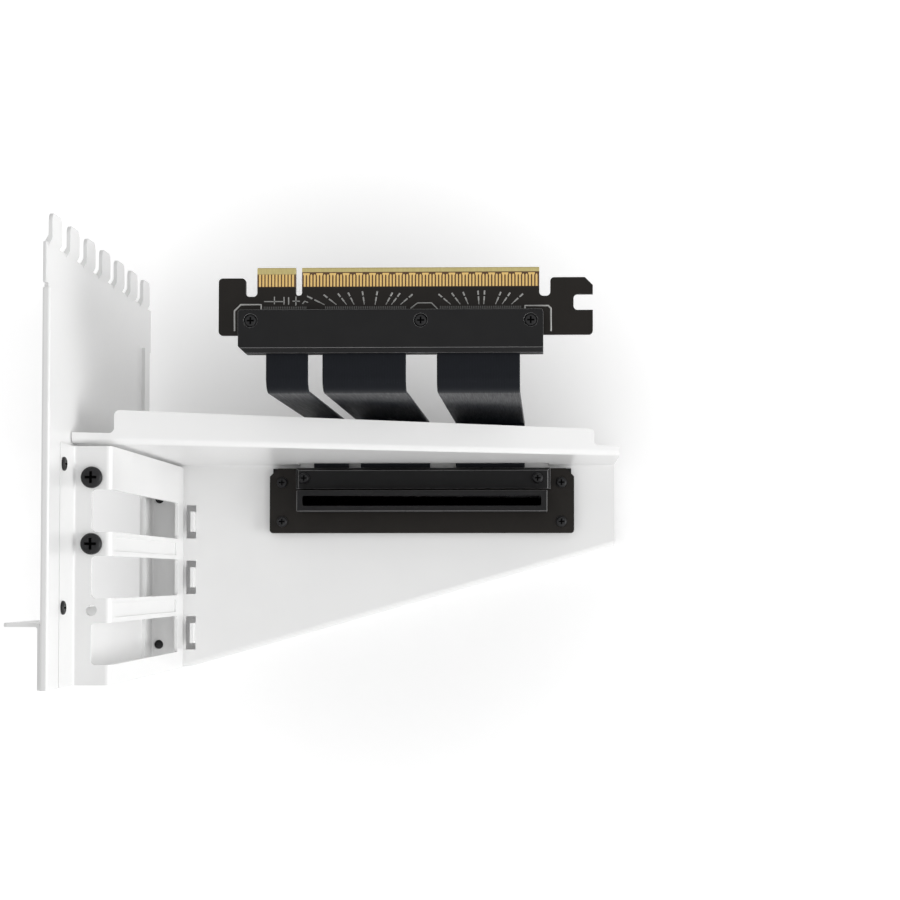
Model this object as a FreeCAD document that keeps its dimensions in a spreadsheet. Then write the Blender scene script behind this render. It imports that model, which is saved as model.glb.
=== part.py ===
"""Vertical graphics card mount: folded steel bracket with a ribbon riser.

Millimetres. The origin is the middle of the line of case screws, on the seating face of the screw
tab. +X runs into the case along the card, +Y towards the mainboard and +Z up the stack of slots.
"""
import FreeCAD
import Part
import Sketcher
import math
import os
import re

SIZES = [
    # Sheet steel and fasteners
    ("steel", 1.2, "thickness of the folded sheets"),
    ("bend", 0.8, "inside radius of every fold"),
    ("slot_pitch", 20.32, "distance between neighbouring expansion slots"),
    ("screw_play", 0.12, "radial room round a screw in its hole"),
    ("seat_gap", 0.3, "room between sheets that are only set against each other"),
    # Rear plate
    ("plate_face", 6.0, "case screw line to the outer face of the plate"),
    ("plate_rise", 111.3, "screw tab to the roots of the tongues"),
    ("plate_drop", 19.7, "screw tab to the lower end of the plate"),
    ("plate_top", 69.5, "origin to the upper edge of the plate"),
    ("hem_depth", 2.9, "depth of the fold under the plate's foot"),
    ("upper_hem", 12.2, "width of the flat fold along the plate's upper edge"),
    ("hem_end", 13.5, "end of that fold up to the roots of the tongues"),
    ("hem_relief", 1.6, "width of the relief notch at that end"),
    ("lower_hem", 8.8, "width of the flat fold along the plate's lower edge"),
    ("lower_hem_end", 15.5, "end of the lower fold up to the roots of the tongues"),
    ("lower_hem_rise", 6.4, "shelf up to the lower fold"),
    ("tongue_width", 11.3, "width of a slot tongue"),
    ("tongue_offset", 1.15, "middle of a slot up to the middle of its tongue"),
    ("tongue_length", 8.9, "length of a slot tongue past its root"),
    ("tongue_step", 1.25, "sideways step of a tongue"),
    ("tongue_slant", 2.2, "length over which a tongue steps sideways"),
    ("tongue_corner", 2.6, "corner radius at a tongue's tip"),
    ("window_margin", 3.0, "width of the plate's window past the card's outlets"),
    ("window_corner", 3.0, "corner radius of that window"),
    # Screw tab
    ("tab_reach", 11.4, "plate to the outer edge of the screw tab"),
    ("tab_half", 67.4, "half of the screw tab's length"),
    ("case_hole", 2.0, "radius of a case screw hole"),
    ("tab_corner", 1.5, "corner radius of the screw tab"),
    # Card carrier
    ("rail_height", 40.64, "origin to the upper face of the carrier's rail"),
    ("face_reach", 20.0, "case screw line to the carrier's front face"),
    ("rail_flange", 16.0, "height of the carrier's flange above the rail"),
    ("rail_fix", 12.8, "rail up to the screws in that flange"),
    ("flange_rise", 11.0, "height of the carrier's flange above its foot"),
    ("card_line", 13.9, "case screw line to the row of card screws"),
    ("card_first", 43.8, "screw tab to the first card screw"),
    ("card_thread", 1.6, "radius of a card screw"),
    ("collar_radius", 2.7, "outer radius of the drawn collar under a card screw"),
    ("collar_depth", 1.4, "depth of that collar below the rail"),
    ("slot_width", 12.9, "width of a card outlet"),
    ("slot_sill", 11.4, "height of the sill under a card outlet"),
    ("slot_corner", 1.3, "corner radius of a card outlet"),
    ("bead_width", 4.4, "width of the pressed bead on a divider"),
    ("bead_depth", 0.7, "depth of that bead"),
    ("bead_end", 3.2, "bead's end to the rail or the sill"),
    ("fix_first", 47.2, "screw tab to the first carrier screw"),
    ("fix_spread", 43.0, "distance between the two carrier screws"),
    ("fix_thread", 1.5, "radius of a carrier screw"),
    ("fix_head", 2.1, "radius of a carrier screw's head"),
    ("fix_head_high", 0.9, "height of a carrier screw's head"),
    ("foot_head", 2.7, "radius of a foot screw's head"),
    ("head_height", 1.9, "height of a pan head"),
    ("head_taper", 0.8, "share of a screw head's radius at its top"),
    ("card_head", 3.3, "radius of a card screw's head"),
    ("card_shank", 5.0, "length of a card screw under its head"),
    # Riser tray
    ("shelf_depth", 73.4, "origin down to the shelf"),
    ("skirt_depth", 6.0, "shelf down to the edge that the mount stands on"),
    ("wall_front", 13.7, "middle of the socket to the front of the tray's wall"),
    ("carrier_gap", 1.0, "gap between the carrier and the tray's wall"),
    ("tray_end", 177.5, "case screw line to the free end of the tray"),
    ("wall_high", 40.6, "origin to the wall's upper edge beside the plate"),
    ("wall_low", 22.5, "origin down to the wall's upper edge at the free end"),
    ("lip_narrow", 3.3, "depth of the lip at its two ends"),
    ("lip_deep", 10.5, "depth of the lip beside the carrier"),
    ("lip_shallow", 8.8, "depth of the lip near the free end"),
    ("lip_start", 19.5, "case screw line to the step in the lip"),
    ("lip_stop", 8.7, "free end to the far step in the lip"),
    ("lip_corner", 1.6, "corner radius in the steps of the lip"),
    ("shelf_corner", 21.9, "case screw line to the corner where the shelf narrows"),
    ("shelf_round", 14.0, "radius of that corner"),
    ("shelf_nose", 24.9, "screw tab to the shelf's corner at the free end"),
    ("guide_start", 0.7, "carrier's face to the slot for a card's tongue"),
    ("guide_deep", 3.6, "width of that slot"),
    ("guide_long", 12.2, "length of that slot"),
    ("guide_tab", 7.3, "width of the tab that guides the tongue"),
    ("guide_rise", 3.2, "height of that tab above the shelf"),
    ("foot_line", 11.0, "case screw line to the row of foot screws"),
    ("foot_first", 11.2, "screw tab down to the first foot screw"),
    ("foot_spread", 53.2, "distance between the two foot screws"),
    # Riser cable
    ("board", 1.6, "thickness of a circuit board"),
    ("ribbon", 1.0, "thickness of a ribbon"),
    ("ribbon_play", 0.05, "room between a ribbon and the part that holds it"),
    ("riser_key", 78.1, "case screw line to the keys of plug and socket"),
    ("key_width", 1.9, "width of the plug's key notch"),
    ("key_depth", 8.5, "depth of the plug's key notch"),
    ("short_edge", 11.65, "plug's edge on the near side of the key"),
    ("long_edge", 71.65, "plug's edge on the far side of the key"),
    ("edge_spare", 0.65, "plug's edge past a row of contacts"),
    ("contact_pitch", 1.0, "distance between neighbouring contacts"),
    ("contact_width", 0.7, "width of a contact"),
    ("contact_long", 4.2, "length of a plug contact"),
    ("contact_inset", 1.6, "plug's edge to its contacts"),
    ("gilding", 0.06, "thickness of a plug contact"),
    # Plug
    ("plug_face", 47.8, "origin to the plug board's upper face"),
    ("plug_edge", 106.8, "screw tab to the plug's edge"),
    ("plug_back", 20.5, "plug's edge to the plug board's back edge"),
    ("ear_gap", 3.5, "plug's edge to the left ear"),
    ("ear_width", 8.2, "width of the left ear"),
    ("ear_top", 3.2, "plug's edge to the tops of ear and hook"),
    ("ear_notch", 8.8, "plug's edge to the notches beside it"),
    ("hook_gap", 3.3, "plug's edge to the retention hook"),
    ("hook_width", 12.8, "width of the retention hook"),
    ("hook_mouth", 5.8, "depth of the hook's mouth"),
    ("hook_low", 13.1, "plug's edge to the lower side of that mouth"),
    ("hook_high", 8.3, "plug's edge to the upper side of that mouth"),
    ("hook_bevel", 2.4, "bevel on the hook's outer corner"),
    ("ear_corner", 1.2, "corner radius of the ears"),
    ("cover_near", 5.3, "plug cover's near end past the plug's edge"),
    ("cover_far", 1.2, "plug cover's far end past the plug's edge"),
    ("cover_low", 26.1, "plug's edge to the plug cover's back"),
    ("cover_high", 13.2, "plug's edge to the plug cover's front"),
    ("cover_deep", 4.2, "height of a cover half over the board's middle"),
    ("cover_bevel", 1.4, "bevel along the plug cover's back"),
    ("cover_corner", 1.0, "corner radius of the plug cover"),
    ("cover_cut", 1.9, "bevel on the plug cover's near back corner"),
    ("board_play", 0.05, "room between the board and the covers"),
    ("plug_screw_line", 16.5, "plug's edge to the plug screws"),
    ("plug_screw_inset", 3.75, "plug cover's ends to its outer screws"),
    ("plug_thread", 1.0, "radius of a plug screw"),
    ("plug_head", 1.95, "radius of a plug screw's head"),
    ("plug_head_high", 1.3, "height of a plug screw's head"),
    ("plug_shank", 6.0, "length of a plug screw under its head"),
    # Ribbons
    ("left_inset", 7.9, "plug cover's near end to the left ribbon"),
    ("left_wide", 12.8, "width of the left ribbon"),
    ("ribbon_gap", 4.3, "left ribbon to the middle one"),
    ("middle_wide", 25.3, "width of the middle ribbon"),
    ("right_inset", 7.0, "plug cover's far end to the right ribbon"),
    ("right_wide", 25.1, "width of the right ribbon"),
    ("drop_line", 69.5, "screw tab to the middle of the hanging ribbons"),
    ("ribbon_bend", 4.2, "radius of the ribbons' bends"),
    # Socket
    ("base_high", 2.0, "thickness of the insulating base"),
    ("base_inset", 1.0, "socket board's edge to the base's edge"),
    ("card_plane", 40.7, "screw tab to the middle of the socket"),
    ("socket_board_near", 13.6, "socket board's near end past the card's edge"),
    ("socket_board_far", 12.1, "socket board's far end past the card's edge"),
    ("socket_board_front", 11.3, "middle of the socket to its board's front edge"),
    ("socket_board_gap", 1.4, "tray's wall to the socket board"),
    ("socket_board_bevel", 3.0, "bevel on the socket board's wall side"),
    ("socket_wide", 7.5, "width of the socket"),
    ("socket_high", 11.25, "height of the socket"),
    ("socket_end", 2.35, "socket's end to the slot in it"),
    ("card_slot", 1.8, "width of the slot for the card's edge"),
    ("card_slot_deep", 8.6, "depth of that slot"),
    ("card_slot_flare", 0.7, "bevel along the mouth of that slot"),
    ("spring_thick", 0.25, "thickness of a socket contact"),
    ("spring_high", 6.5, "height of a socket contact"),
    ("spring_sink", 1.2, "socket's mouth to the tip of a contact"),
    ("clamp_past", 1.2, "ribbon clamp's ends past the socket"),
    ("clamp_high", 4.4, "height of the ribbon clamp"),
    ("clamp_gap", 0.9, "socket to the ribbon clamp"),
    ("clamp_bevel", 1.0, "bevel along the ribbon clamp"),
    ("window_inset", 0.6, "ribbon clamp's ends to the sides of the wall's opening"),
    ("window_high", 11.0, "height of that opening above the shelf"),
    ("socket_screw_inset", 4.6, "socket board's ends to its screws"),
    ("socket_screw_front", 4.2, "socket board's front edge to its first screws"),
    ("socket_screw_back", 18.4, "socket board's front edge to its second screws"),
    ("socket_shank", 6.0, "length of a socket screw under its head"),
]

SLOT_COUNT = 7
CARD_SLOTS = 3
OPEN_SLOTS = 2
SHEET_FUNCTIONS = ("sqrt", "tan", "atan", "cos", "sin")
TOUCH = 0.01

# Places that follow from the sizes
PLATE_INNER = "(plate_face + steel)"
FLANGE_INNER = "(plate_face + 2 * steel)"
WALL_FRONT = "(card_plane + wall_front)"
CARRIER_HIGH = "(%s - carrier_gap)" % WALL_FRONT
LOWER_FOLD = "(lower_hem_rise - shelf_depth)"
HEM_END = "(plate_rise - hem_end)"
LOWER_HEM_END = "(plate_rise - lower_hem_end)"
SHELF = "(-shelf_depth)"
GROUND = "(-shelf_depth - skirt_depth)"
FOOT_TOP = "(steel - shelf_depth)"
SLOT_FIRST = "(card_first - slot_pitch / 2)"
SILL = "(slot_sill - shelf_depth)"
WALL_BACK = "(%s + steel)" % WALL_FRONT
TRAY_START = "(plate_face + steel + seat_gap)"
WALL_FALL = "((wall_high + wall_low) / (tray_end - %s))" % TRAY_START
LIP_HIGH = "(steel * sqrt(1 + %s ^ 2))" % WALL_FALL
SHELF_LOW = "(seat_gap - plate_drop)"
SHELF_SLOPE = "((shelf_nose - %s) / (tray_end - shelf_corner))" % SHELF_LOW
SHELF_STEP = "(steel * sqrt(1 + %s ^ 2))" % SHELF_SLOPE
PLUG_MIDDLE = "(plug_face - board / 2)"
PLUG_BACK = "(plug_edge - plug_back)"
EAR_TOP = "(plug_edge - ear_top)"
EAR_NOTCH = "(plug_edge - ear_notch)"
HOOK_LOW = "(plug_edge - hook_low)"
HOOK_HIGH = "(plug_edge - hook_high)"
COVER_LOW = "(plug_edge - cover_low)"
COVER_HIGH = "(plug_edge - cover_high)"
PLUG_SCREW_LINE = "(plug_edge - plug_screw_line)"
KEY_LEFT = "(riser_key - key_width / 2)"
KEY_RIGHT = "(riser_key + key_width / 2)"
EDGE_LEFT = "(%s - short_edge)" % KEY_LEFT
EDGE_RIGHT = "(%s + long_edge)" % KEY_RIGHT
EAR_INNER = "(%s - ear_gap)" % EDGE_LEFT
EAR_LEFT = "(%s - ear_width)" % EAR_INNER
HOOK_LEFT = "(%s + hook_gap)" % EDGE_RIGHT
HOOK_RIGHT = "(%s + hook_width)" % HOOK_LEFT
COVER_LEFT = "(%s - cover_near)" % EDGE_LEFT
COVER_RIGHT = "(%s + cover_far)" % EDGE_RIGHT
LEFT_START = "(%s + left_inset)" % COVER_LEFT
LEFT_END = "(%s + left_wide)" % LEFT_START
MIDDLE_START = "(%s + ribbon_gap)" % LEFT_END
MIDDLE_END = "(%s + middle_wide)" % MIDDLE_START
RIGHT_END = "(%s - right_inset)" % COVER_RIGHT
RIGHT_START = "(%s - right_wide)" % RIGHT_END
SOCKET_LEFT = "(%s - socket_end)" % EDGE_LEFT
SOCKET_RIGHT = "(%s + socket_end)" % EDGE_RIGHT
SOCKET_BOARD_LEFT = "(%s - socket_board_near)" % EDGE_LEFT
SOCKET_BOARD_RIGHT = "(%s + socket_board_far)" % EDGE_RIGHT
CLAMP_LEFT = "(%s - clamp_past)" % SOCKET_LEFT
CLAMP_RIGHT = "(%s + clamp_past)" % SOCKET_RIGHT
BASE_TOP = "(base_high - shelf_depth)"
BOARD_TOP = "(base_high + board - shelf_depth)"
SOCKET_FRONT = "(card_plane - socket_board_front)"
SOCKET_BACK = "(%s - socket_board_gap)" % WALL_FRONT
RIBBON_LEVEL = "(base_high + board + ribbon / 2 - shelf_depth)"
CLAMP_FRONT = "(card_plane + socket_wide / 2 + clamp_gap)"

document = FreeCAD.newDocument("vertical_card_mount")
sheet = document.addObject("Spreadsheet::Sheet", "sizes")
for row, (alias, number, meaning) in enumerate(SIZES, start=1):
    sheet.set("A%d" % row, meaning)
    sheet.set("B%d" % row, str(number))
    sheet.setAlias("B%d" % row, alias)
document.recompute()

nodes = []


def bound(text):
    """Point every size named in an expression at its cell."""
    def cell(found):
        word = found.group(0)
        return word if word in SHEET_FUNCTIONS else "sizes." + word
    return re.sub(r"[a-z_]+", cell, text)


def value(text):
    return float(sheet.evalExpression(bound(text)))


def bind(thing, **expressions):
    for name, text in expressions.items():
        thing.setExpression(name.replace("__", "."), bound(text))


def new_body(label, several=False):
    body = document.addObject("PartDesign::Body", label)
    body.Label = label
    body.AllowCompound = several
    nodes.append(body)
    return body


def origin_part(body, role):
    return next(part for part in body.Origin.OriginFeatures if part.Role == role)


# Sketches and the features made from them

def new_sketch(body, plane, name, place):
    """Sketch parallel to an origin plane, at a place along that plane's axis."""
    sketch = body.newObject("Sketcher::SketchObject", name)
    sketch.AttachmentSupport = [(origin_part(body, plane + "_Plane"), "")]
    sketch.MapMode = "FlatFace"
    outward = "-1" if plane == "XZ" else "1"
    bind(sketch, AttachmentOffset__Base__z="%s * (%s)" % (outward, place))
    return sketch


def fix_point(sketch, edge, end, corner):
    for kind, text in zip(("DistanceX", "DistanceY"), corner):
        constraint = sketch.addConstraint(Sketcher.Constraint(kind, -1, 1, edge, end, value(text)))
        sketch.setExpression("Constraints[%d]" % constraint, bound(text))


def fix_radius(sketch, edge, text):
    constraint = sketch.addConstraint(Sketcher.Constraint("Radius", edge, value(text)))
    sketch.setExpression("Constraints[%d]" % constraint, bound(text))


def polygon(*corners):
    """Drawing of a closed outline with straight sides."""
    def draw(sketch):
        points = [FreeCAD.Vector(value(across), value(up), 0) for across, up in corners]
        first = sketch.GeometryCount
        for start, end in zip(points, points[1:] + points[:1]):
            sketch.addGeometry(Part.LineSegment(start, end))
        for index, corner in enumerate(corners):
            before = first + (index - 1) % len(corners)
            sketch.addConstraint(Sketcher.Constraint("Coincident", before, 2, first + index, 1))
            fix_point(sketch, first + index, 1, corner)
    return draw


def rectangle(left, right, low, high):
    return polygon((left, low), (right, low), (right, high), (left, high))


def circles(radius, *centres):
    def draw(sketch):
        for centre in centres:
            middle = FreeCAD.Vector(value(centre[0]), value(centre[1]), 0)
            normal = FreeCAD.Vector(0, 0, 1)
            edge = sketch.addGeometry(Part.Circle(middle, normal, value(radius)))
            fix_point(sketch, edge, 3, centre)
            fix_radius(sketch, edge, radius)
    return draw


def pad(body, name, plane, start, end, *drawings):
    """Solid between two places along the plane's axis."""
    sketch = new_sketch(body, plane, name + "_outline", start)
    for draw in drawings:
        draw(sketch)
    feature = body.newObject("PartDesign::Pad", name)
    feature.Profile = sketch
    feature.Reversed = plane == "XZ"
    bind(feature, Length="(%s) - (%s)" % (end, start))
    document.recompute()
    return feature


def pocket(body, name, plane, start, end, *drawings):
    """Cut between two places along the plane's axis."""
    volume = body.Shape.Volume
    sketch = new_sketch(body, plane, name + "_outline", start if plane == "XZ" else end)
    for draw in drawings:
        draw(sketch)
    feature = body.newObject("PartDesign::Pocket", name)
    feature.Profile = sketch
    bind(feature, Length="(%s) - (%s)" % (end, start))
    document.recompute()
    if body.Shape.Volume >= volume:
        raise RuntimeError(name + " cuts nothing")
    return feature


def repeat(body, name, features, axis, spacing, count, backwards=False):
    pattern = body.newObject("PartDesign::LinearPattern", name)
    pattern.Originals = features
    pattern.Direction = (origin_part(body, axis + "_Axis"), [""])
    pattern.Reversed = backwards
    pattern.Occurrences = count
    bind(pattern, Length="(%s) * %d" % (spacing, count - 1))
    body.Tip = pattern
    document.recompute()
    return pattern


def edges_at(feature, **places):
    """Names of the edges whose every point lies at the given X, Y or Z."""
    names = []
    for index, edge in enumerate(feature.Shape.Edges, start=1):
        points = [edge.valueAt(edge.FirstParameter + share * (edge.LastParameter - edge.FirstParameter))
                  for share in (0.0, 0.5, 1.0)]
        level = all(abs(getattr(point, axis) - value(text)) < TOUCH
                    for axis, text in places.items() for point in points)
        if level:
            names.append("Edge%d" % index)
    return names


def soften(body, name, kind, size, names):
    """Fillet or chamfer some edges of the body's tip."""
    base = body.Tip
    feature = body.newObject("PartDesign::" + kind, name)
    feature.Base = (base, names)
    bind(feature, **{"Radius" if kind == "Fillet" else "Size": size})
    document.recompute()
    return feature


def round_edges(body, name, size, *places):
    names = [edge for place in places for edge in edges_at(body.Tip, **place)]
    return soften(body, name, "Fillet", size, sorted(set(names)))


def bevel_edges(body, name, size, *places):
    names = [edge for place in places for edge in edges_at(body.Tip, **place)]
    return soften(body, name, "Chamfer", size, sorted(set(names)))


# Screws

def screw(name, across, along, up, axis, head_radius, head_height, shank_radius, shank_length):
    """Screw with its head's underside at a point and its head pointing along an axis."""
    head = document.addObject("Part::Cone", name + "_head")
    bind(head, Radius1=head_radius, Radius2="%s * head_taper" % head_radius, Height=head_height)
    shank = document.addObject("Part::Cylinder", name + "_shank")
    bind(shank, Radius=shank_radius, Height=shank_length, Placement__Base__z="-(%s)" % shank_length)
    whole = document.addObject("Part::MultiFuse", name)
    whole.Shapes = [head, shank]
    turn = FreeCAD.Rotation(FreeCAD.Vector(0, 0, 1), FreeCAD.Vector(*axis))
    whole.Placement = FreeCAD.Placement(FreeCAD.Vector(), turn)
    bind(whole, Placement__Base__x=across, Placement__Base__y=along, Placement__Base__z=up)
    return whole


def screw_group(label, screws):
    group = document.addObject("Part::Compound", label)
    group.Label = label
    group.Links = screws
    nodes.append(group)
    document.recompute()


# Rear plate: flat sheet with hems along its edges, a foot, a comb of tongues and the card's window

def make_rear_plate():
    body = new_body("rear_plate")
    pad(body, "plate_sheet", "YZ", "plate_face", PLATE_INNER,
        rectangle("-plate_drop", "plate_rise", SHELF, "plate_top"))
    pad(body, "plate_foot", "YZ", "plate_face", PLATE_INNER,
        rectangle("-plate_drop", CARRIER_HIGH, GROUND, SHELF))
    pad(body, "foot_fold", "YZ", "plate_face", "plate_face + hem_depth",
        rectangle("-plate_drop", CARRIER_HIGH, GROUND, GROUND + " + steel"))
    round_edges(body, "foot_bend", "bend", {"x": PLATE_INNER, "z": GROUND + " + steel"})
    pocket(body, "lower_fold_line", "YZ", "plate_face", PLATE_INNER,
           rectangle(CARRIER_HIGH, LOWER_HEM_END, SHELF, LOWER_FOLD))
    pad(body, "upper_hem", "YZ", PLATE_INNER, FLANGE_INNER,
        rectangle("-plate_drop", HEM_END, "plate_top - upper_hem", "plate_top"))
    pad(body, "lower_hem", "YZ", PLATE_INNER, FLANGE_INNER,
        rectangle(WALL_BACK + " + seat_gap", LOWER_HEM_END, LOWER_FOLD, LOWER_FOLD + " + lower_hem"))
    round_edges(body, "hem_folds", "bend",
                {"x": "plate_face", "z": "plate_top"}, {"x": FLANGE_INNER, "z": "plate_top"},
                {"x": FLANGE_INNER, "z": LOWER_FOLD})
    pocket(body, "hem_relief", "YZ", "plate_face", PLATE_INNER,
           rectangle(HEM_END, HEM_END + " + hem_relief", "plate_top - 2 * steel", "plate_top + steel"))
    tongue_low = "slot_pitch * 3 + tongue_offset - tongue_width / 2"
    tongue_high = "slot_pitch * 3 + tongue_offset + tongue_width / 2"
    tongue = pad(body, "tongue", "XY", tongue_low, tongue_high,
                 polygon(("plate_face", "plate_rise - steel"),
                         (PLATE_INNER, "plate_rise - steel"),
                         ("plate_face + steel + tongue_step", "plate_rise - steel + tongue_slant"),
                         ("plate_face + steel + tongue_step", "plate_rise + tongue_length"),
                         ("plate_face + tongue_step", "plate_rise + tongue_length"),
                         ("plate_face + tongue_step", "plate_rise + tongue_slant"),
                         ("plate_face", "plate_rise")))
    tip = "plate_rise + tongue_length"
    rounding = round_edges(body, "tongue_tip", "tongue_corner",
                           {"y": tip, "z": tongue_low}, {"y": tip, "z": tongue_high})
    repeat(body, "tongues", [tongue, rounding], "Z", "slot_pitch", SLOT_COUNT, backwards=True)
    low_outlet = "%s - slot_pitch * %d - slot_width / 2 - window_margin" % (SLOT_FIRST, OPEN_SLOTS - 1)
    high_outlet = "%s + slot_width / 2 + window_margin" % SLOT_FIRST
    pocket(body, "card_window", "YZ", "plate_face - steel", "plate_face + 2 * steel",
           rectangle(low_outlet, high_outlet, SILL, "rail_height - window_margin - steel"))
    round_edges(body, "card_window_corners", "window_corner",
                {"y": low_outlet, "z": SILL}, {"y": high_outlet, "z": SILL},
                {"y": low_outlet, "z": "rail_height - window_margin - steel"},
                {"y": high_outlet, "z": "rail_height - window_margin - steel"})
    pocket(body, "carrier_threads", "YZ", "plate_face - steel", "plate_face + 2 * steel",
           circles("fix_thread + screw_play", *carrier_screw_places()))


def carrier_screw_places():
    return [(along, up)
            for up in ("rail_height + rail_fix", "steel + flange_rise / 2 - shelf_depth")
            for along in ("fix_first", "fix_first - fix_spread")]


# Screw tab: angle strip on the plate's outer face, which the case screws hold

def make_case_tab():
    body = new_body("case_tab")
    pad(body, "angle", "XY", "-tab_half", "tab_half",
        polygon(("plate_face", "0"), ("plate_face - tab_reach", "0"),
                ("plate_face - tab_reach", "-steel"), ("plate_face - steel", "-steel"),
                ("plate_face - steel", "-plate_drop"), ("plate_face", "-plate_drop")))
    round_edges(body, "angle_outer_bend", "bend + steel", {"x": "plate_face", "y": "0"})
    round_edges(body, "angle_inner_bend", "bend", {"x": "plate_face - steel", "y": "-steel"})
    round_edges(body, "tab_corners", "tab_corner",
                {"x": "plate_face - tab_reach", "z": "tab_half"},
                {"x": "plate_face - tab_reach", "z": "-tab_half"})
    hole = pocket(body, "case_hole", "XZ", "-2 * steel", "steel",
                  circles("case_hole", ("0", "slot_pitch * 2.5")))
    repeat(body, "case_holes", [hole], "Z", "slot_pitch", SLOT_COUNT - 1, backwards=True)


# Card carrier: hat section with the rail that the card's bracket is screwed to

def make_card_carrier():
    body = new_body("card_carrier")
    low = "-plate_drop"
    under_rail = "rail_height - steel"
    inner_face = "face_reach - steel"
    pad(body, "hat", "XZ", low, CARRIER_HIGH,
        polygon((PLATE_INNER, "rail_height + rail_flange"), (FLANGE_INNER, "rail_height + rail_flange"),
                (FLANGE_INNER, "rail_height"), ("face_reach", "rail_height"),
                ("face_reach", SHELF), (PLATE_INNER, SHELF),
                (PLATE_INNER, FOOT_TOP + " + flange_rise"), (FLANGE_INNER, FOOT_TOP + " + flange_rise"),
                (FLANGE_INNER, FOOT_TOP), (inner_face, FOOT_TOP),
                (inner_face, under_rail), (PLATE_INNER, under_rail)))
    round_edges(body, "hat_inner_bends", "bend",
                {"x": FLANGE_INNER, "z": "rail_height"}, {"x": inner_face, "z": under_rail},
                {"x": inner_face, "z": FOOT_TOP}, {"x": FLANGE_INNER, "z": FOOT_TOP})
    round_edges(body, "hat_outer_bends", "bend + steel",
                {"x": PLATE_INNER, "z": under_rail}, {"x": "face_reach", "z": "rail_height"},
                {"x": "face_reach", "z": SHELF}, {"x": PLATE_INNER, "z": SHELF})
    collar = pad(body, "collar", "XY", "rail_height - steel - collar_depth", under_rail,
                 circles("collar_radius", ("card_line", "card_first")))
    thread = pocket(body, "card_thread_hole", "XY", "rail_height - steel - 2 * collar_depth",
                    "rail_height + steel",
                    circles("card_thread + screw_play", ("card_line", "card_first")))
    repeat(body, "card_threads", [collar, thread], "Y", "slot_pitch", CARD_SLOTS, backwards=True)
    left = "%s - slot_width / 2" % SLOT_FIRST
    right = "%s + slot_width / 2" % SLOT_FIRST
    rail_cut = pocket(body, "rail_outlet", "XY", "rail_height - bend - 3 * steel", "rail_height + steel",
                      rectangle("card_line", "face_reach + steel", left, right))
    rail_corners = round_edges(body, "rail_outlet_corners", "slot_corner",
                               {"x": "card_line", "y": left}, {"x": "card_line", "y": right})
    face_cut = pocket(body, "face_outlet", "YZ", "face_reach - bend - 3 * steel", "face_reach + steel",
                      rectangle(left, right, SILL, "rail_height - bend - 2 * steel"))
    face_corners = round_edges(body, "face_outlet_corners", "slot_corner",
                               {"y": left, "z": SILL}, {"y": right, "z": SILL})
    repeat(body, "outlets", [rail_cut, rail_corners, face_cut, face_corners],
           "Y", "slot_pitch", CARD_SLOTS, backwards=True)
    bead = pocket(body, "divider_bead", "YZ", "face_reach - bead_depth", "face_reach + steel",
                  rectangle("card_first - slot_pitch - bead_width / 2",
                            "card_first - slot_pitch + bead_width / 2",
                            SILL + " + bead_end", "rail_height - bend - steel - bead_end"))
    repeat(body, "divider_beads", [bead], "Y", "slot_pitch", CARD_SLOTS - 1, backwards=True)
    pocket(body, "carrier_screw_holes", "YZ", PLATE_INNER + " - steel", FLANGE_INNER + " + steel",
           circles("fix_thread + screw_play", *carrier_screw_places()))
    pocket(body, "foot_threads", "XY", SHELF + " - steel", FOOT_TOP + " + steel",
           circles("fix_thread + screw_play", *foot_screw_places()))


def foot_screw_places():
    return [("foot_line", "-foot_first"), ("foot_line", "foot_spread - foot_first")]


# Riser tray: shelf, back wall and lip folded from one sheet

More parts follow.
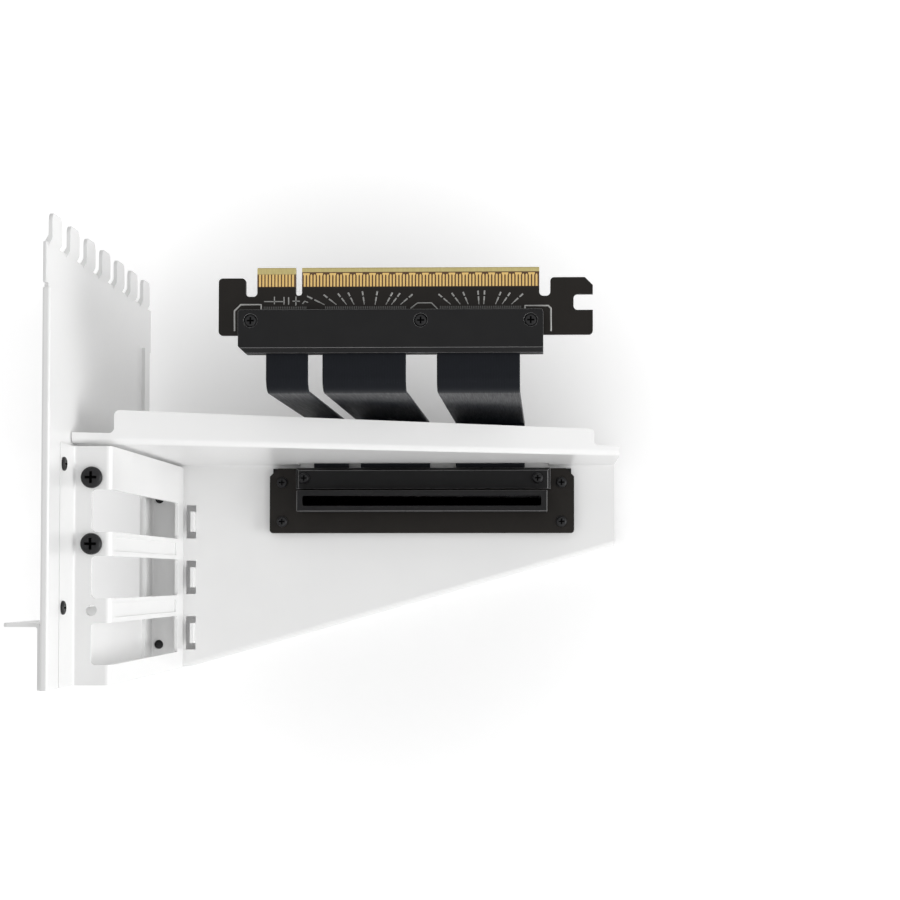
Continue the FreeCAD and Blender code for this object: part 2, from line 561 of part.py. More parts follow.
def make_riser_tray():
    body = new_body("riser_tray")
    pad(body, "shelf_block", "XY", GROUND, SHELF,
        polygon((TRAY_START, SHELF_LOW), ("shelf_corner", SHELF_LOW), ("tray_end", "shelf_nose"),
                ("tray_end", WALL_BACK), (TRAY_START, WALL_BACK)))
    round_edges(body, "shelf_outer_corner", "shelf_round", {"x": "shelf_corner", "y": SHELF_LOW})
    inner_low = SHELF_LOW + " + steel"
    inner_corner = "shelf_corner + (steel - %s) / %s" % (SHELF_STEP, SHELF_SLOPE)
    beyond = "tray_end + steel"
    pocket(body, "shelf_underside", "XY", GROUND + " - steel", SHELF + " - steel",
           polygon((TRAY_START + " - steel", inner_low), (inner_corner, inner_low),
                   (beyond, "shelf_nose + %s + steel * %s" % (SHELF_STEP, SHELF_SLOPE)),
                   (beyond, WALL_BACK + " + steel"), (TRAY_START + " - steel", WALL_BACK + " + steel")))
    round_edges(body, "shelf_inner_corner", "shelf_round - steel", {"x": inner_corner, "y": inner_low})
    pocket(body, "skirt_relief", "XY", GROUND + " - steel", SHELF + " - steel",
           rectangle(TRAY_START + " - steel", "plate_face + hem_depth + seat_gap",
                     SHELF_LOW + " - steel", inner_low + " + steel"))
    pad(body, "wall", "XZ", WALL_FRONT, WALL_BACK,
        polygon((TRAY_START, "-shelf_depth - steel"), ("tray_end", "-shelf_depth - steel"),
                ("tray_end", "-wall_low"), (TRAY_START, "wall_high")))
    pad(body, "lip", "XZ", WALL_FRONT, WALL_FRONT + " + lip_deep",
        polygon((TRAY_START, "wall_high"), (TRAY_START, "wall_high - " + LIP_HIGH),
                ("tray_end", "-wall_low - " + LIP_HIGH), ("tray_end", "-wall_low")))
    far_step = "tray_end - lip_stop"
    pocket(body, "lip_outline", "XY", "-wall_low - 3 * steel", "wall_high + steel",
           polygon((TRAY_START + " - steel", WALL_FRONT + " + lip_narrow"),
                   ("lip_start", WALL_FRONT + " + lip_narrow"), ("lip_start", WALL_FRONT + " + lip_deep"),
                   (far_step, WALL_FRONT + " + lip_shallow"), (far_step, WALL_FRONT + " + lip_narrow"),
                   (beyond, WALL_FRONT + " + lip_narrow"), (beyond, WALL_FRONT + " + lip_deep + steel"),
                   (TRAY_START + " - steel", WALL_FRONT + " + lip_deep + steel")))
    round_edges(body, "lip_steps", "lip_corner",
                {"x": "lip_start", "y": WALL_FRONT + " + lip_narrow"},
                {"x": "lip_start", "y": WALL_FRONT + " + lip_deep"},
                {"x": far_step, "y": WALL_FRONT + " + lip_narrow"},
                {"x": far_step, "y": WALL_FRONT + " + lip_shallow"})
    soften(body, "wall_outer_bends", "Fillet", "bend + steel",
           edges_at(body.Tip, y=WALL_BACK, z="-shelf_depth - steel") + sloping_edges(body.Tip, WALL_FRONT, 0))
    soften(body, "wall_inner_bends", "Fillet", "bend",
           edges_at(body.Tip, y=WALL_FRONT, z=SHELF) + sloping_edges(body.Tip, WALL_BACK, value(LIP_HIGH)))
    soften(body, "skirt_bend", "Fillet", "bend + steel", skirt_edges(body.Tip))
    pocket(body, "ribbon_opening", "XZ", WALL_FRONT + " - steel", WALL_BACK + " + steel",
           rectangle(CLAMP_LEFT + " + window_inset", CLAMP_RIGHT + " - window_inset",
                     SHELF, SHELF + " + window_high"))
    make_card_guides(body)
    pocket(body, "foot_screw_holes", "XY", "-shelf_depth - 2 * steel", SHELF + " + steel",
           circles("fix_thread + screw_play", *foot_screw_places()))
    pocket(body, "socket_threads", "XY", "-shelf_depth - 2 * steel", SHELF + " + steel",
           circles("plug_thread + screw_play", *socket_screw_places()))


def make_card_guides(body):
    """Slots in the shelf for the tongues of the card's bracket, each with its lanced guide tab."""
    start = "face_reach + guide_start"
    end = "face_reach + guide_start + guide_deep"
    slot = pocket(body, "guide_slot", "XY", "-shelf_depth - 2 * steel", SHELF + " + steel",
                  rectangle(start, end, SLOT_FIRST + " - guide_long / 2", SLOT_FIRST + " + guide_long / 2"))
    tab = pad(body, "guide_tab", "XZ", SLOT_FIRST + " - guide_tab / 2", SLOT_FIRST + " + guide_tab / 2",
              polygon((end, "-shelf_depth - steel"), (end, SHELF),
                      (end + " - steel / 4", SHELF), (end + " - steel / 4", SHELF + " + guide_rise"),
                      (end + " - steel * 5 / 4", SHELF + " + guide_rise"),
                      (end + " - steel * 5 / 4", "-shelf_depth - steel")))
    repeat(body, "card_guides", [slot, tab], "Y", "slot_pitch", CARD_SLOTS, backwards=True)


def sloping_edges(feature, place, below):
    """Edges along the wall's sloping top, at a distance below its outer face."""
    names = []
    for index, edge in enumerate(feature.Shape.Edges, start=1):
        ends = [vertex.Point for vertex in edge.Vertexes]
        if len(ends) != 2 or abs(ends[0].x - ends[1].x) < value("steel"):
            continue
        heights = [value("wall_high") - value(WALL_FALL) * (point.x - value(TRAY_START)) - below
                   for point in ends]
        level = all(abs(point.y - value(place)) < TOUCH and abs(point.z - height) < TOUCH
                    for point, height in zip(ends, heights))
        if level:
            names.append("Edge%d" % index)
    return names


def skirt_edges(feature):
    """Edges between the shelf and the skirt along its low and slanting sides."""
    names = []
    for name in edges_at(feature, z=SHELF):
        edge = feature.Shape.getElement(name)
        middle = edge.valueAt((edge.FirstParameter + edge.LastParameter) / 2)
        slant = value("shelf_nose") + value(SHELF_SLOPE) * (middle.x - value("tray_end"))
        outer = max(slant, value(SHELF_LOW))
        along = edge.BoundBox.XLength > value("steel")
        if along and middle.y < outer + value("shelf_round") / 4 and middle.y < value(WALL_FRONT) - 1:
            names.append(name)
    return names


# Circuit board of the plug, with its gilded edge and its covers

def make_plug_board():
    body = new_body("plug_board")
    key_low = "plug_edge - key_depth"
    mouth_end = HOOK_RIGHT + " - hook_mouth"
    pad(body, "plug_sheet", "XY", "plug_face - board", "plug_face",
        polygon((EAR_LEFT, PLUG_BACK), (HOOK_RIGHT, PLUG_BACK),
                (HOOK_RIGHT, HOOK_LOW), (mouth_end, HOOK_LOW),
                (mouth_end, HOOK_HIGH), (HOOK_RIGHT, HOOK_HIGH),
                (HOOK_RIGHT, EAR_TOP), (HOOK_LEFT, EAR_TOP),
                (HOOK_LEFT, EAR_NOTCH), (EDGE_RIGHT, EAR_NOTCH), (EDGE_RIGHT, "plug_edge"),
                (KEY_RIGHT, "plug_edge"), (KEY_RIGHT, key_low), (KEY_LEFT, key_low),
                (KEY_LEFT, "plug_edge"), (EDGE_LEFT, "plug_edge"), (EDGE_LEFT, EAR_NOTCH),
                (EAR_INNER, EAR_NOTCH), (EAR_INNER, EAR_TOP), (EAR_LEFT, EAR_TOP)))
    round_edges(body, "ear_corners", "ear_corner",
                {"x": EAR_LEFT, "y": PLUG_BACK}, {"x": EAR_LEFT, "y": EAR_TOP},
                {"x": EAR_INNER, "y": EAR_TOP}, {"x": HOOK_LEFT, "y": EAR_TOP},
                {"x": HOOK_RIGHT, "y": PLUG_BACK}, {"x": EAR_INNER, "y": EAR_NOTCH},
                {"x": EDGE_LEFT, "y": EAR_NOTCH}, {"x": HOOK_LEFT, "y": EAR_NOTCH},
                {"x": EDGE_RIGHT, "y": EAR_NOTCH},
                {"x": mouth_end, "y": HOOK_LOW}, {"x": mouth_end, "y": HOOK_HIGH})
    round_edges(body, "key_end", "key_width * 0.45",
                {"x": KEY_LEFT, "y": key_low}, {"x": KEY_RIGHT, "y": key_low})
    bevel_edges(body, "hook_corner", "hook_bevel", {"x": HOOK_RIGHT, "y": EAR_TOP})
    bevel_edges(body, "edge_bevel", "board / 4",
                {"y": "plug_edge", "z": "plug_face"}, {"y": "plug_edge", "z": "plug_face - board"})
    pocket(body, "plug_screw_holes", "XY", "plug_face - 2 * board", "plug_face + board",
           circles("plug_thread + screw_play", *plug_screw_places()))


def plug_screw_places():
    return [(across, PLUG_SCREW_LINE)
            for across in (COVER_LEFT + " + plug_screw_inset", "(%s + %s) / 2" % (MIDDLE_END, RIGHT_START),
                           COVER_RIGHT + " - plug_screw_inset")]


def contact_banks():
    """Name, first contact's place and number of contacts on each side of the key."""
    banks = []
    for bank, left, edge in (("short", EDGE_LEFT, "short_edge"), ("long", KEY_RIGHT, "long_edge")):
        count = math.floor(value("(%s - edge_spare) / contact_pitch" % edge) + TOUCH)
        banks.append((bank, "%s + (%s - contact_pitch * %d) / 2" % (left, edge, count - 1), count))
    return banks


def make_plug_contacts():
    body = new_body("plug_contacts", several=True)
    high = "plug_edge - contact_inset"
    low = "plug_edge - contact_inset - contact_long"
    faces = (("upper", "plug_face", "plug_face + gilding"),
             ("lower", "plug_face - board - gilding", "plug_face - board"))
    for side, start, end in faces:
        for bank, first, count in contact_banks():
            finger = pad(body, "%s_%s_contact" % (side, bank), "XY", start, end,
                         rectangle(first + " - contact_width / 2", first + " + contact_width / 2", low, high))
            repeat(body, "%s_%s_contacts" % (side, bank), [finger], "X", "contact_pitch", count)


def ribbon_spans():
    return [(LEFT_START, LEFT_END), (MIDDLE_START, MIDDLE_END), (RIGHT_START, RIGHT_END)]


def make_plug_cover(label, split, outer, bore_start, bore_end):
    """Half of the plug's cover. Its seat for the board and the ribbons faces the split."""
    above = value(outer) > value(split)
    way = "+" if above else "-"

    def from_split(depth):
        deep = "%s %s %s" % (split, way, depth)
        return (split, deep) if above else (deep, split)

    body = new_body(label)
    pad(body, "cover_block", "YZ", COVER_LEFT, COVER_RIGHT,
        polygon((COVER_LOW, split), (COVER_LOW, "%s - %s cover_bevel" % (outer, way)),
                (COVER_LOW + " + cover_bevel", outer), (COVER_HIGH, outer), (COVER_HIGH, split)))
    round_edges(body, "cover_corners", "cover_corner",
                {"x": COVER_LEFT, "y": COVER_HIGH}, {"x": COVER_RIGHT, "y": COVER_HIGH})
    bevel_edges(body, "cover_near_corner", "cover_cut", {"x": COVER_LEFT, "y": COVER_LOW})
    pocket(body, "screw_bores", "XY", bore_start, bore_end,
           circles("plug_thread + screw_play", *plug_screw_places()))
    if above:
        pocket(body, "screw_seats", "XY", outer + " - plug_head_high", outer + " + board",
               circles("plug_head + screw_play", *plug_screw_places()))
    pocket(body, "board_seat", "XY", *from_split("(board / 2 + board_play)"),
           rectangle(COVER_LEFT + " - board", COVER_RIGHT + " + board",
                     PLUG_BACK + " - board_play", COVER_HIGH + " + board"))
    pocket(body, "ribbon_seats", "XY", *from_split("(ribbon / 2 + ribbon_play)"),
           *[rectangle(start + " - ribbon_play", end + " + ribbon_play", COVER_LOW + " - board", PLUG_BACK)
             for start, end in ribbon_spans()])


def make_plug_covers():
    top = "plug_face - board / 2 + cover_deep"
    bottom = "plug_face - board / 2 - cover_deep"
    bore_end = top + " - plug_head_high - plug_shank - board / 2"
    make_plug_cover("plug_cover_top", PLUG_MIDDLE, top, PLUG_MIDDLE + " - board", top + " + board")
    make_plug_cover("plug_cover_bottom", PLUG_MIDDLE, bottom, bore_end, "plug_face + board")


# Ribbons: each a flat cable bent down behind the lip and in through the tray's opening

def make_ribbon(label, start, end):
    body = new_body(label)
    path = new_sketch(body, "YZ", "route", "(%s + %s) / 2" % (start, end))
    plug_end = (PLUG_BACK + " - ribbon_play", PLUG_MIDDLE)
    socket_end = (CLAMP_FRONT + " + steel", RIBBON_LEVEL)
    draw_route(path, plug_end, "drop_line", socket_end, "ribbon_bend")
    section = new_sketch(body, "XZ", "section", plug_end[0])
    rectangle(start, end, PLUG_MIDDLE + " - ribbon / 2", PLUG_MIDDLE + " + ribbon / 2")(section)
    pipe = body.newObject("PartDesign::AdditivePipe", "ribbon_run")
    pipe.Profile = section
    pipe.Spine = (path, ["Edge%d" % (index + 1) for index in range(path.GeometryCount)])
    document.recompute()


def draw_route(sketch, first, drop, last, radius):
    """Level run, bend, straight drop, bend and level run."""
    bend = value(radius)
    start = FreeCAD.Vector(value(first[0]), value(first[1]), 0)
    end = FreeCAD.Vector(value(last[0]), value(last[1]), 0)
    line = value(drop)
    upper = FreeCAD.Vector(line + bend, start.y - bend, 0)
    lower = FreeCAD.Vector(line - bend, end.y + bend, 0)
    normal = FreeCAD.Vector(0, 0, 1)
    quarter = math.pi / 2
    sketch.addGeometry(Part.LineSegment(start, FreeCAD.Vector(upper.x, start.y, 0)))
    sketch.addGeometry(Part.ArcOfCircle(Part.Circle(upper, normal, bend), quarter, 2 * quarter))
    sketch.addGeometry(Part.LineSegment(FreeCAD.Vector(line, upper.y, 0), FreeCAD.Vector(line, lower.y, 0)))
    sketch.addGeometry(Part.ArcOfCircle(Part.Circle(lower, normal, bend), 3 * quarter, 4 * quarter))
    sketch.addGeometry(Part.LineSegment(FreeCAD.Vector(lower.x, end.y, 0), end))
    for kind, edge in (("Horizontal", 0), ("Vertical", 2), ("Horizontal", 4)):
        sketch.addConstraint(Sketcher.Constraint(kind, edge))
    for joint in ((0, 2, 1, 1), (1, 2, 2, 1), (2, 2, 3, 2), (3, 1, 4, 1)):
        sketch.addConstraint(Sketcher.Constraint("Tangent", *joint))
    fix_point(sketch, 0, 1, first)
    fix_point(sketch, 4, 2, last)
    fix_radius(sketch, 1, radius)
    fix_radius(sketch, 3, radius)
    drop_place = sketch.addConstraint(Sketcher.Constraint("DistanceX", -1, 1, 2, 1, line))
    sketch.setExpression("Constraints[%d]" % drop_place, bound(drop))


# Socket: board on an insulating base, slot for the card's edge and the clamp on the ribbons

def make_socket_base():
    body = new_body("socket_base")
    pad(body, "base_sheet", "XY", SHELF, BASE_TOP,
        rectangle(SOCKET_BOARD_LEFT + " + base_inset", SOCKET_BOARD_RIGHT + " - base_inset",
                  SOCKET_FRONT + " + base_inset", SOCKET_BACK))
    pocket(body, "base_screw_holes", "XY", SHELF + " - steel", BASE_TOP + " + steel",
           circles("plug_thread + screw_play", *socket_screw_places()))


def make_socket_board():
    body = new_body("socket_board")
    pad(body, "socket_sheet", "XY", BASE_TOP, BOARD_TOP,
        rectangle(SOCKET_BOARD_LEFT, SOCKET_BOARD_RIGHT, SOCKET_FRONT, SOCKET_BACK))
    bevel_edges(body, "wall_side_corners", "socket_board_bevel",
                {"x": SOCKET_BOARD_LEFT, "y": SOCKET_BACK}, {"x": SOCKET_BOARD_RIGHT, "y": SOCKET_BACK})
    round_edges(body, "front_corners", "ear_corner",
                {"x": SOCKET_BOARD_LEFT, "y": SOCKET_FRONT},
                {"x": SOCKET_BOARD_RIGHT, "y": SOCKET_FRONT})
    pocket(body, "board_screw_holes", "XY", BASE_TOP + " - steel", BOARD_TOP + " + steel",
           circles("plug_thread + screw_play", *socket_screw_places(), *clamp_screw_places()))


def socket_screw_places():
    return [(across, SOCKET_FRONT + " + " + inset)
            for across in (SOCKET_BOARD_LEFT + " + socket_screw_inset",
                           SOCKET_BOARD_RIGHT + " - socket_screw_inset")
            for inset in ("socket_screw_front", "socket_screw_back")]


def clamp_screw_places():
    along = "(%s + %s) / 2" % (CLAMP_FRONT, SOCKET_BACK)
    return [(across, along) for across in ("(%s + %s) / 2" % (CLAMP_LEFT, LEFT_START),
                                           "(%s + %s) / 2" % (RIGHT_END, CLAMP_RIGHT))]


def make_socket_body():
    body = new_body("socket_body")
    mouth = BOARD_TOP + " + socket_high"
    floor = mouth + " - card_slot_deep"
    pad(body, "socket_block", "XY", BOARD_TOP, mouth,
        rectangle(SOCKET_LEFT, SOCKET_RIGHT,
                  "card_plane - socket_wide / 2", "card_plane + socket_wide / 2"))
    low = "card_plane - card_slot / 2"
    high = "card_plane + card_slot / 2"
    pocket(body, "card_slot_banks", "XY", floor, mouth,
           rectangle(EDGE_LEFT, KEY_LEFT, low, high), rectangle(KEY_RIGHT, EDGE_RIGHT, low, high))
    bevel_edges(body, "card_slot_mouth", "card_slot_flare",
                {"y": low, "z": mouth}, {"y": high, "z": mouth})
    for side, start, end in contact_channels():
        pocket(body, side + "_channel", "XY", floor, mouth + " - spring_sink",
               rectangle(EDGE_LEFT, EDGE_RIGHT, start, end))


def contact_channels():
    return [("front", "card_plane - card_slot / 2 - 2 * spring_thick", "card_plane - card_slot / 2"),
            ("back", "card_plane + card_slot / 2", "card_plane + card_slot / 2 + 2 * spring_thick")]


def make_socket_contacts():
    body = new_body("socket_contacts", several=True)
    floor = BOARD_TOP + " + socket_high - card_slot_deep"
    for side, start, end in contact_channels():
        for bank, first, count in contact_banks():
            spring = pad(body, "%s_%s_spring" % (side, bank), "XY", floor, floor + " + spring_high",
                         rectangle(first + " - contact_width / 2", first + " + contact_width / 2",
                                   "(%s + %s) / 2 - spring_thick / 2" % (start, end),
                                   "(%s + %s) / 2 + spring_thick / 2" % (start, end)))
            repeat(body, "%s_%s_springs" % (side, bank), [spring], "X", "contact_pitch", count)


def make_ribbon_clamp():
    body = new_body("ribbon_clamp")
    top = BOARD_TOP + " + clamp_high"
    pad(body, "clamp_block", "XY", BOARD_TOP, top,
        rectangle(CLAMP_LEFT, CLAMP_RIGHT, CLAMP_FRONT, SOCKET_BACK))
    bevel_edges(body, "clamp_edges", "clamp_bevel",
                {"y": SOCKET_BACK, "z": top}, {"x": CLAMP_LEFT, "z": top}, {"x": CLAMP_RIGHT, "z": top})
    pocket(body, "clamp_ribbon_seats", "XY", BOARD_TOP, BOARD_TOP + " + ribbon + ribbon_play",
           *[rectangle(start + " - ribbon_play", end + " + ribbon_play",
                       CLAMP_FRONT + " + steel - ribbon_play", SOCKET_BACK + " + steel")
             for start, end in ribbon_spans()])
    pocket(body, "clamp_screw_holes", "XY", BOARD_TOP, top + " + steel",
           circles("plug_thread + screw_play", *clamp_screw_places()))


# Fasteners

def make_screws():
    screw_group("card_screws", [
        screw("card_screw_%d" % step, "card_line", "card_first - slot_pitch * %d" % step, "rail_height",
              (0, 0, 1), "card_head", "head_height", "card_thread", "card_shank")
        for step in range(OPEN_SLOTS)])
    screw_group("carrier_screws", [
        screw("carrier_screw_%d" % index, FLANGE_INNER, along, up, (1, 0, 0),
              "fix_head", "fix_head_high", "fix_thread", "2 * steel")
        for index, (along, up) in enumerate(carrier_screw_places())])
    screw_group("foot_screws", [
        screw("foot_screw_%d" % index, across, along, "-shelf_depth - steel", (0, 0, -1),
              "foot_head", "head_height", "fix_thread", "3 * steel")
        for index, (across, along) in enumerate(foot_screw_places())])
    screw_group("plug_screws", [
        screw("plug_screw_%d" % index, across, along, "plug_face - board / 2 + cover_deep - plug_head_high",
              (0, 0, 1), "plug_head", "plug_head_high", "plug_thread", "plug_shank")
        for index, (across, along) in enumerate(plug_screw_places())])
    screw_group("socket_screws", [
        screw("socket_screw_%d" % index, across, along, BOARD_TOP, (0, 0, 1),
              "plug_head", "plug_head_high", "plug_thread", "socket_shank")
        for index, (across, along) in enumerate(socket_screw_places())])
    screw_group("clamp_screws", [
        screw("clamp_screw_%d" % index, across, along, BOARD_TOP + " + clamp_high", (0, 0, 1),
              "plug_head", "plug_head_high", "plug_thread", "clamp_high + board")
        for index, (across, along) in enumerate(clamp_screw_places())])


def check_and_write():
    document.recompute()
    for thing in document.Objects:
        if "Invalid" in thing.State or "Error" in thing.State:
            raise RuntimeError("%s failed: %s" % (thing.Label, thing.State))
    for node in nodes:
        if node.Shape.isNull() or not node.Shape.isValid() or not node.Shape.Solids:
            raise RuntimeError(node.Label + " has no valid solid")
    os.makedirs("parts", exist_ok=True)
    for node in nodes:
        node.Shape.exportStep(os.path.join("parts", node.Label + ".step"))


make_rear_plate()
make_case_tab()
make_card_carrier()
make_riser_tray()
make_plug_board()
make_plug_contacts()
make_plug_covers()
for side, (start, end) in zip(("left", "middle", "right"), ribbon_spans()):
    make_ribbon("ribbon_" + side, start, end)
make_socket_base()
make_socket_board()
make_socket_body()
make_socket_contacts()
make_ribbon_clamp()
make_screws()
check_and_write()
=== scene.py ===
"""Looks of the vertical card mount: coated steel sheets, black screws and a ribbon riser."""
import math

import bmesh
import bpy
from mathutils import Matrix, Vector


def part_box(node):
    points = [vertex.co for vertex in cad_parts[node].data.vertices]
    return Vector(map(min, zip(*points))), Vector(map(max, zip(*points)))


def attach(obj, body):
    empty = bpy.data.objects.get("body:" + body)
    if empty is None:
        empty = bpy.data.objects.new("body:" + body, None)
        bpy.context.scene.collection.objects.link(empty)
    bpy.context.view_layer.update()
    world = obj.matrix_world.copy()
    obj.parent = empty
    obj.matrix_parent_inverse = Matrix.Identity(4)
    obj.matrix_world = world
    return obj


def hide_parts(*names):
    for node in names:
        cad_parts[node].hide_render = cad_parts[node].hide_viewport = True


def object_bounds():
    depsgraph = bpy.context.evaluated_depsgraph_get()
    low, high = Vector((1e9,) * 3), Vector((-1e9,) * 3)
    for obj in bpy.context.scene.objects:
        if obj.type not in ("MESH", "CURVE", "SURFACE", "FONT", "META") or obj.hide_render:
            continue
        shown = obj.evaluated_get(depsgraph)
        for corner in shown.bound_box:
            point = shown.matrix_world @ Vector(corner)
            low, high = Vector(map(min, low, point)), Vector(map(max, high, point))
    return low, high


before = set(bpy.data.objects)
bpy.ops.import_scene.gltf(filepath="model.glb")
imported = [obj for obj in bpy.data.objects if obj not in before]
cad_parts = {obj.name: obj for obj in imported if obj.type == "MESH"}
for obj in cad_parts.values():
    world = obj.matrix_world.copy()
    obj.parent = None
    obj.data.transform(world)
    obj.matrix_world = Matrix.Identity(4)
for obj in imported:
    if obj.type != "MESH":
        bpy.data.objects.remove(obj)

CAD_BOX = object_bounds()
MM = 0.001
UP = (0, 0, 1)
DOWN = (0, 0, -1)
INWARD = (1, 0, 0)
TOWARDS_BOARD = (0, 1, 0)

# Joining of the CAD pieces' triangles
WELD = 0.002 * MM
FLAT_ANGLE = math.radians(0.4)

# Camera above the mount, with the tongues at the top of the picture
CAMERA_PLACE = Vector((153.007, 13.058, 604.044)) * MM
CAMERA_AIM = Vector((137.669, 33.258, 0.0)) * MM
CAMERA_LENS = 74.235
CAMERA_SHIFT = (-0.0556, 0.0733)
CAMERA_SENSOR = 36.0
CAMERA_CLIP = (0.01, 50.0)

# Rounding of the pieces' edges, in millimetres
SHEET_EDGE = 0.16
MOULDED_EDGE = 0.22
# The plug covers' rounding carries their painted highlight line
COVER_EDGE_ROUNDING = 0.3
BOARD_EDGE = 0.06
CONTACT_EDGE = 0.02
EDGE_ANGLE = math.radians(32)
EDGE_SEGMENTS = 2
FACE_WEIGHT = 80

# Screws, in millimetres
CARD_SCREW = {"head_radius": 3.3, "head_height": 1.9, "shank_radius": 1.6, "shank_length": 5.0}
CARRIER_SCREW = {"head_radius": 2.1, "head_height": 0.9, "shank_radius": 1.5, "shank_length": 2.4}
FOOT_SCREW = {"head_radius": 2.7, "head_height": 1.9, "shank_radius": 1.5, "shank_length": 3.6}
BOARD_SCREW = {"head_radius": 1.95, "head_height": 1.3, "shank_radius": 1.0, "shank_length": 6.0}
THREAD_PITCH = 0.5
THREAD_DEPTH = 0.14
SCREW_SIDES = 48

# Screws, as shares: the tip's dome of the shank, and the rim, the dome and the cross of the head
TIP_DOME = 0.45
RIM_INSET = 0.96
RIM_HEIGHT = 0.12
DOME_FLAT = 0.62
DOME_FOOT = 0.35
CROSS_REACH = 0.58
CROSS_WIDTH = 0.14
CROSS_DEPTH = 0.8
CROSS_TAPER = 0.75
CUTTER_TOP = 1.2
RECESS_TOP = 0.98

# Round outlines: first angle, last angle and step, in degrees
TIP_ARC = (0, 90, 18)
DOME_ARC = (0, 90, 15)
RIBBON_ARC = (110, 250, 20)

# Ribbons, in millimetres
RIBBON_THICKNESS = 1.0
RIBBON_BEND = 4.2
RIBBON_DROP = 69.5
RIBBON_RIDGE = 0.05
RIBBON_CREASE = math.radians(40)
RIDGE_PITCH = 0.8
RIDGE_STEPS = 4
BEND_STEPS = 14

# Plug board, in millimetres from the case screw line and the screw tab
PLUG_FACE = 47.8
PLUG_KEY = 78.1
SHORT_BEVEL = 104.75
LONG_BEVEL = 105.4
BARE_FROM = 100.9
BARE_MARGIN = 1.0
PRINT_HEIGHT = 0.025
END_WIDTH = 0.5
END_FRAMES = (
    ((58.7, 87.6), (58.6, 93.7), (60.5, 95.6), (66.7, 95.6), (66.7, 94.2)),
    ((146.4, 94.2), (146.4, 95.05), (153.4, 95.0), (154.2, 94.2), (154.2, 87.3)),
)
MIDDLE_WIDTH = 0.36
MIDDLE_FRAME = ((111.9, 94.3), (114.0, 95.95), (118.2, 95.95), (120.0, 94.1))
SIDE_WIDTH = 0.34
SIDE_TRACES = (
    ((67.6, 96.5), (73.3, 96.5)), ((70.7, 95.7), (70.7, 98.0)), ((73.6, 95.6), (73.6, 97.9)),
    ((75.0, 95.6), (75.0, 97.8)), ((76.2, 96.6), (78.4, 96.6)), ((77.2, 95.3), (77.2, 98.0)),
    ((79.2, 95.8), (79.9, 96.6), (80.9, 96.2)),
)
TRACE_FANS = (
    (99.5, (80.6, 85.6, 89.9, 93.0, 97.3, 101.8, 106.4, 108.7, 112.5)),
    (133.4, (120.3, 124.3, 127.7, 132.2, 134.2, 139.1, 141.9, 145.8)),
)
FAN_SQUEEZE = 0.72
FAN_TOP = 99.7
FAN_FALL = 0.085
FAN_FOOT = 95.5

# Stretches of a trace in the fans: name, start and stop as shares of the trace, and width in millimetres
FAN_STRETCHES = (
    ("plug_tin_upper", 0.0, 0.3, 0.5),
    ("plug_tin_lower", 0.42, 0.72, 0.45),
    ("plug_traces", 0.72, 1.0, 0.24),
)

# Pads and contacts of the plug board, in millimetres
PAD_ROWS = ((67.6, 80.6), (86.2, 110.6), (120.9, 145.6))
PAD_PITCH = 0.55
PAD_SIZE = (0.26, 0.8)
PAD_LINE = 94.6
GILDING = 0.06
CONTACT_PITCH = 1.0
CONTACT_OUTLINES = {
    "short": ((-0.31, -2.1), (0.31, -2.1), (0.31, 1.6), (-0.31, 1.6)),
    "plain": ((-0.29, -2.1), (0.29, -2.1), (0.29, 1.3), (0.15, 1.6), (-0.15, 1.6), (-0.29, 1.3)),
    "broad": ((-0.28, -2.1), (0.28, -2.1), (0.28, 1.2), (0.5, 1.55), (0.5, 2.0), (-0.5, 2.0), (-0.5, 1.55),
              (-0.28, 1.2)),
}

# Usual reach of a noise, and the places of the colour sockets on a Mix node
NOISE_LOW = 0.3
NOISE_HIGH = 0.7
MIX_FIRST = 6
MIX_SECOND = 7
MIX_RESULT = 2

# Blue of the boards' print as a share of its grey, and the lightest colour of a painted edge highlight as
# shares of its darkest grey
PRINT_BLUE = 0.97
EDGE_LIGHT = 1.3
EDGE_BLUE = 1.31

# Strength of the room's light from the screw tab's side and from behind the tongues
ROOM_NEAR = 0.95
ROOM_FAR = 0.38

# Paper floor, in metres, and its glow near the mount and in the open; the weaker glow near the mount paints
# shade there
FLOOR_REACH = 4.0
FLOOR_GAP = 0.05 * MM
FLOOR_MIDDLE = (0.1, 0.03)
FADE_FROM = 0.03
FADE_TO = 0.2
SHADE_LIFT = 0.06
OPEN_LIFT = 0.42
PAPER = (0.93, 0.93, 0.93, 1)
WHITE = (1, 1, 1, 1)

# Lamps, in metres and watts
KEY_SOFTBOX = {"place": (0.55, -0.5, 1.05), "aim": (0.09, 0.05, 0.0), "size": (0.9, 0.9), "power": 1.5}
SIDE_SOFTBOX = {"place": (1.1, -0.1, 0.3), "aim": (0.01, 0.05, 0.0), "size": (0.6, 0.7), "power": 6.5}


def mm(*place):
    """Place in metres from its millimetres."""
    return Vector(place) * MM


def arc(first, last, step):
    """Angles in radians from one angle in degrees to another."""
    return [math.radians(angle) for angle in range(first, last + 1, step)]


# Meshes

def new_piece(name, mesh, *finishes):
    """New object in the scene, with its finishes."""
    piece = bpy.data.objects.new(name, mesh)
    bpy.context.collection.objects.link(piece)
    for finish in finishes:
        mesh.materials.append(finish)
    return piece


def plain_mesh(piece):
    """A new mesh of a piece's shape as its modifiers leave it."""
    graph = bpy.context.evaluated_depsgraph_get()
    return bpy.data.meshes.new_from_object(piece.evaluated_get(graph), depsgraph=graph)


def settle(piece):
    """Turn a piece's modifiers into plain mesh."""
    mesh = plain_mesh(piece)
    piece.modifiers.clear()
    piece.data = mesh
    return piece


def hand_over(piece, slot, *nodes):
    """Put a piece on the mount's body and in the place of CAD nodes, which are hidden; the slot is not used.
    """
    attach(piece, "root")
    if nodes:
        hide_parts(*nodes)


def mesh_of(name, shape):
    """Mesh of a shape, which is used up."""
    mesh = bpy.data.meshes.new(name)
    shape.to_mesh(mesh)
    shape.free()
    return mesh


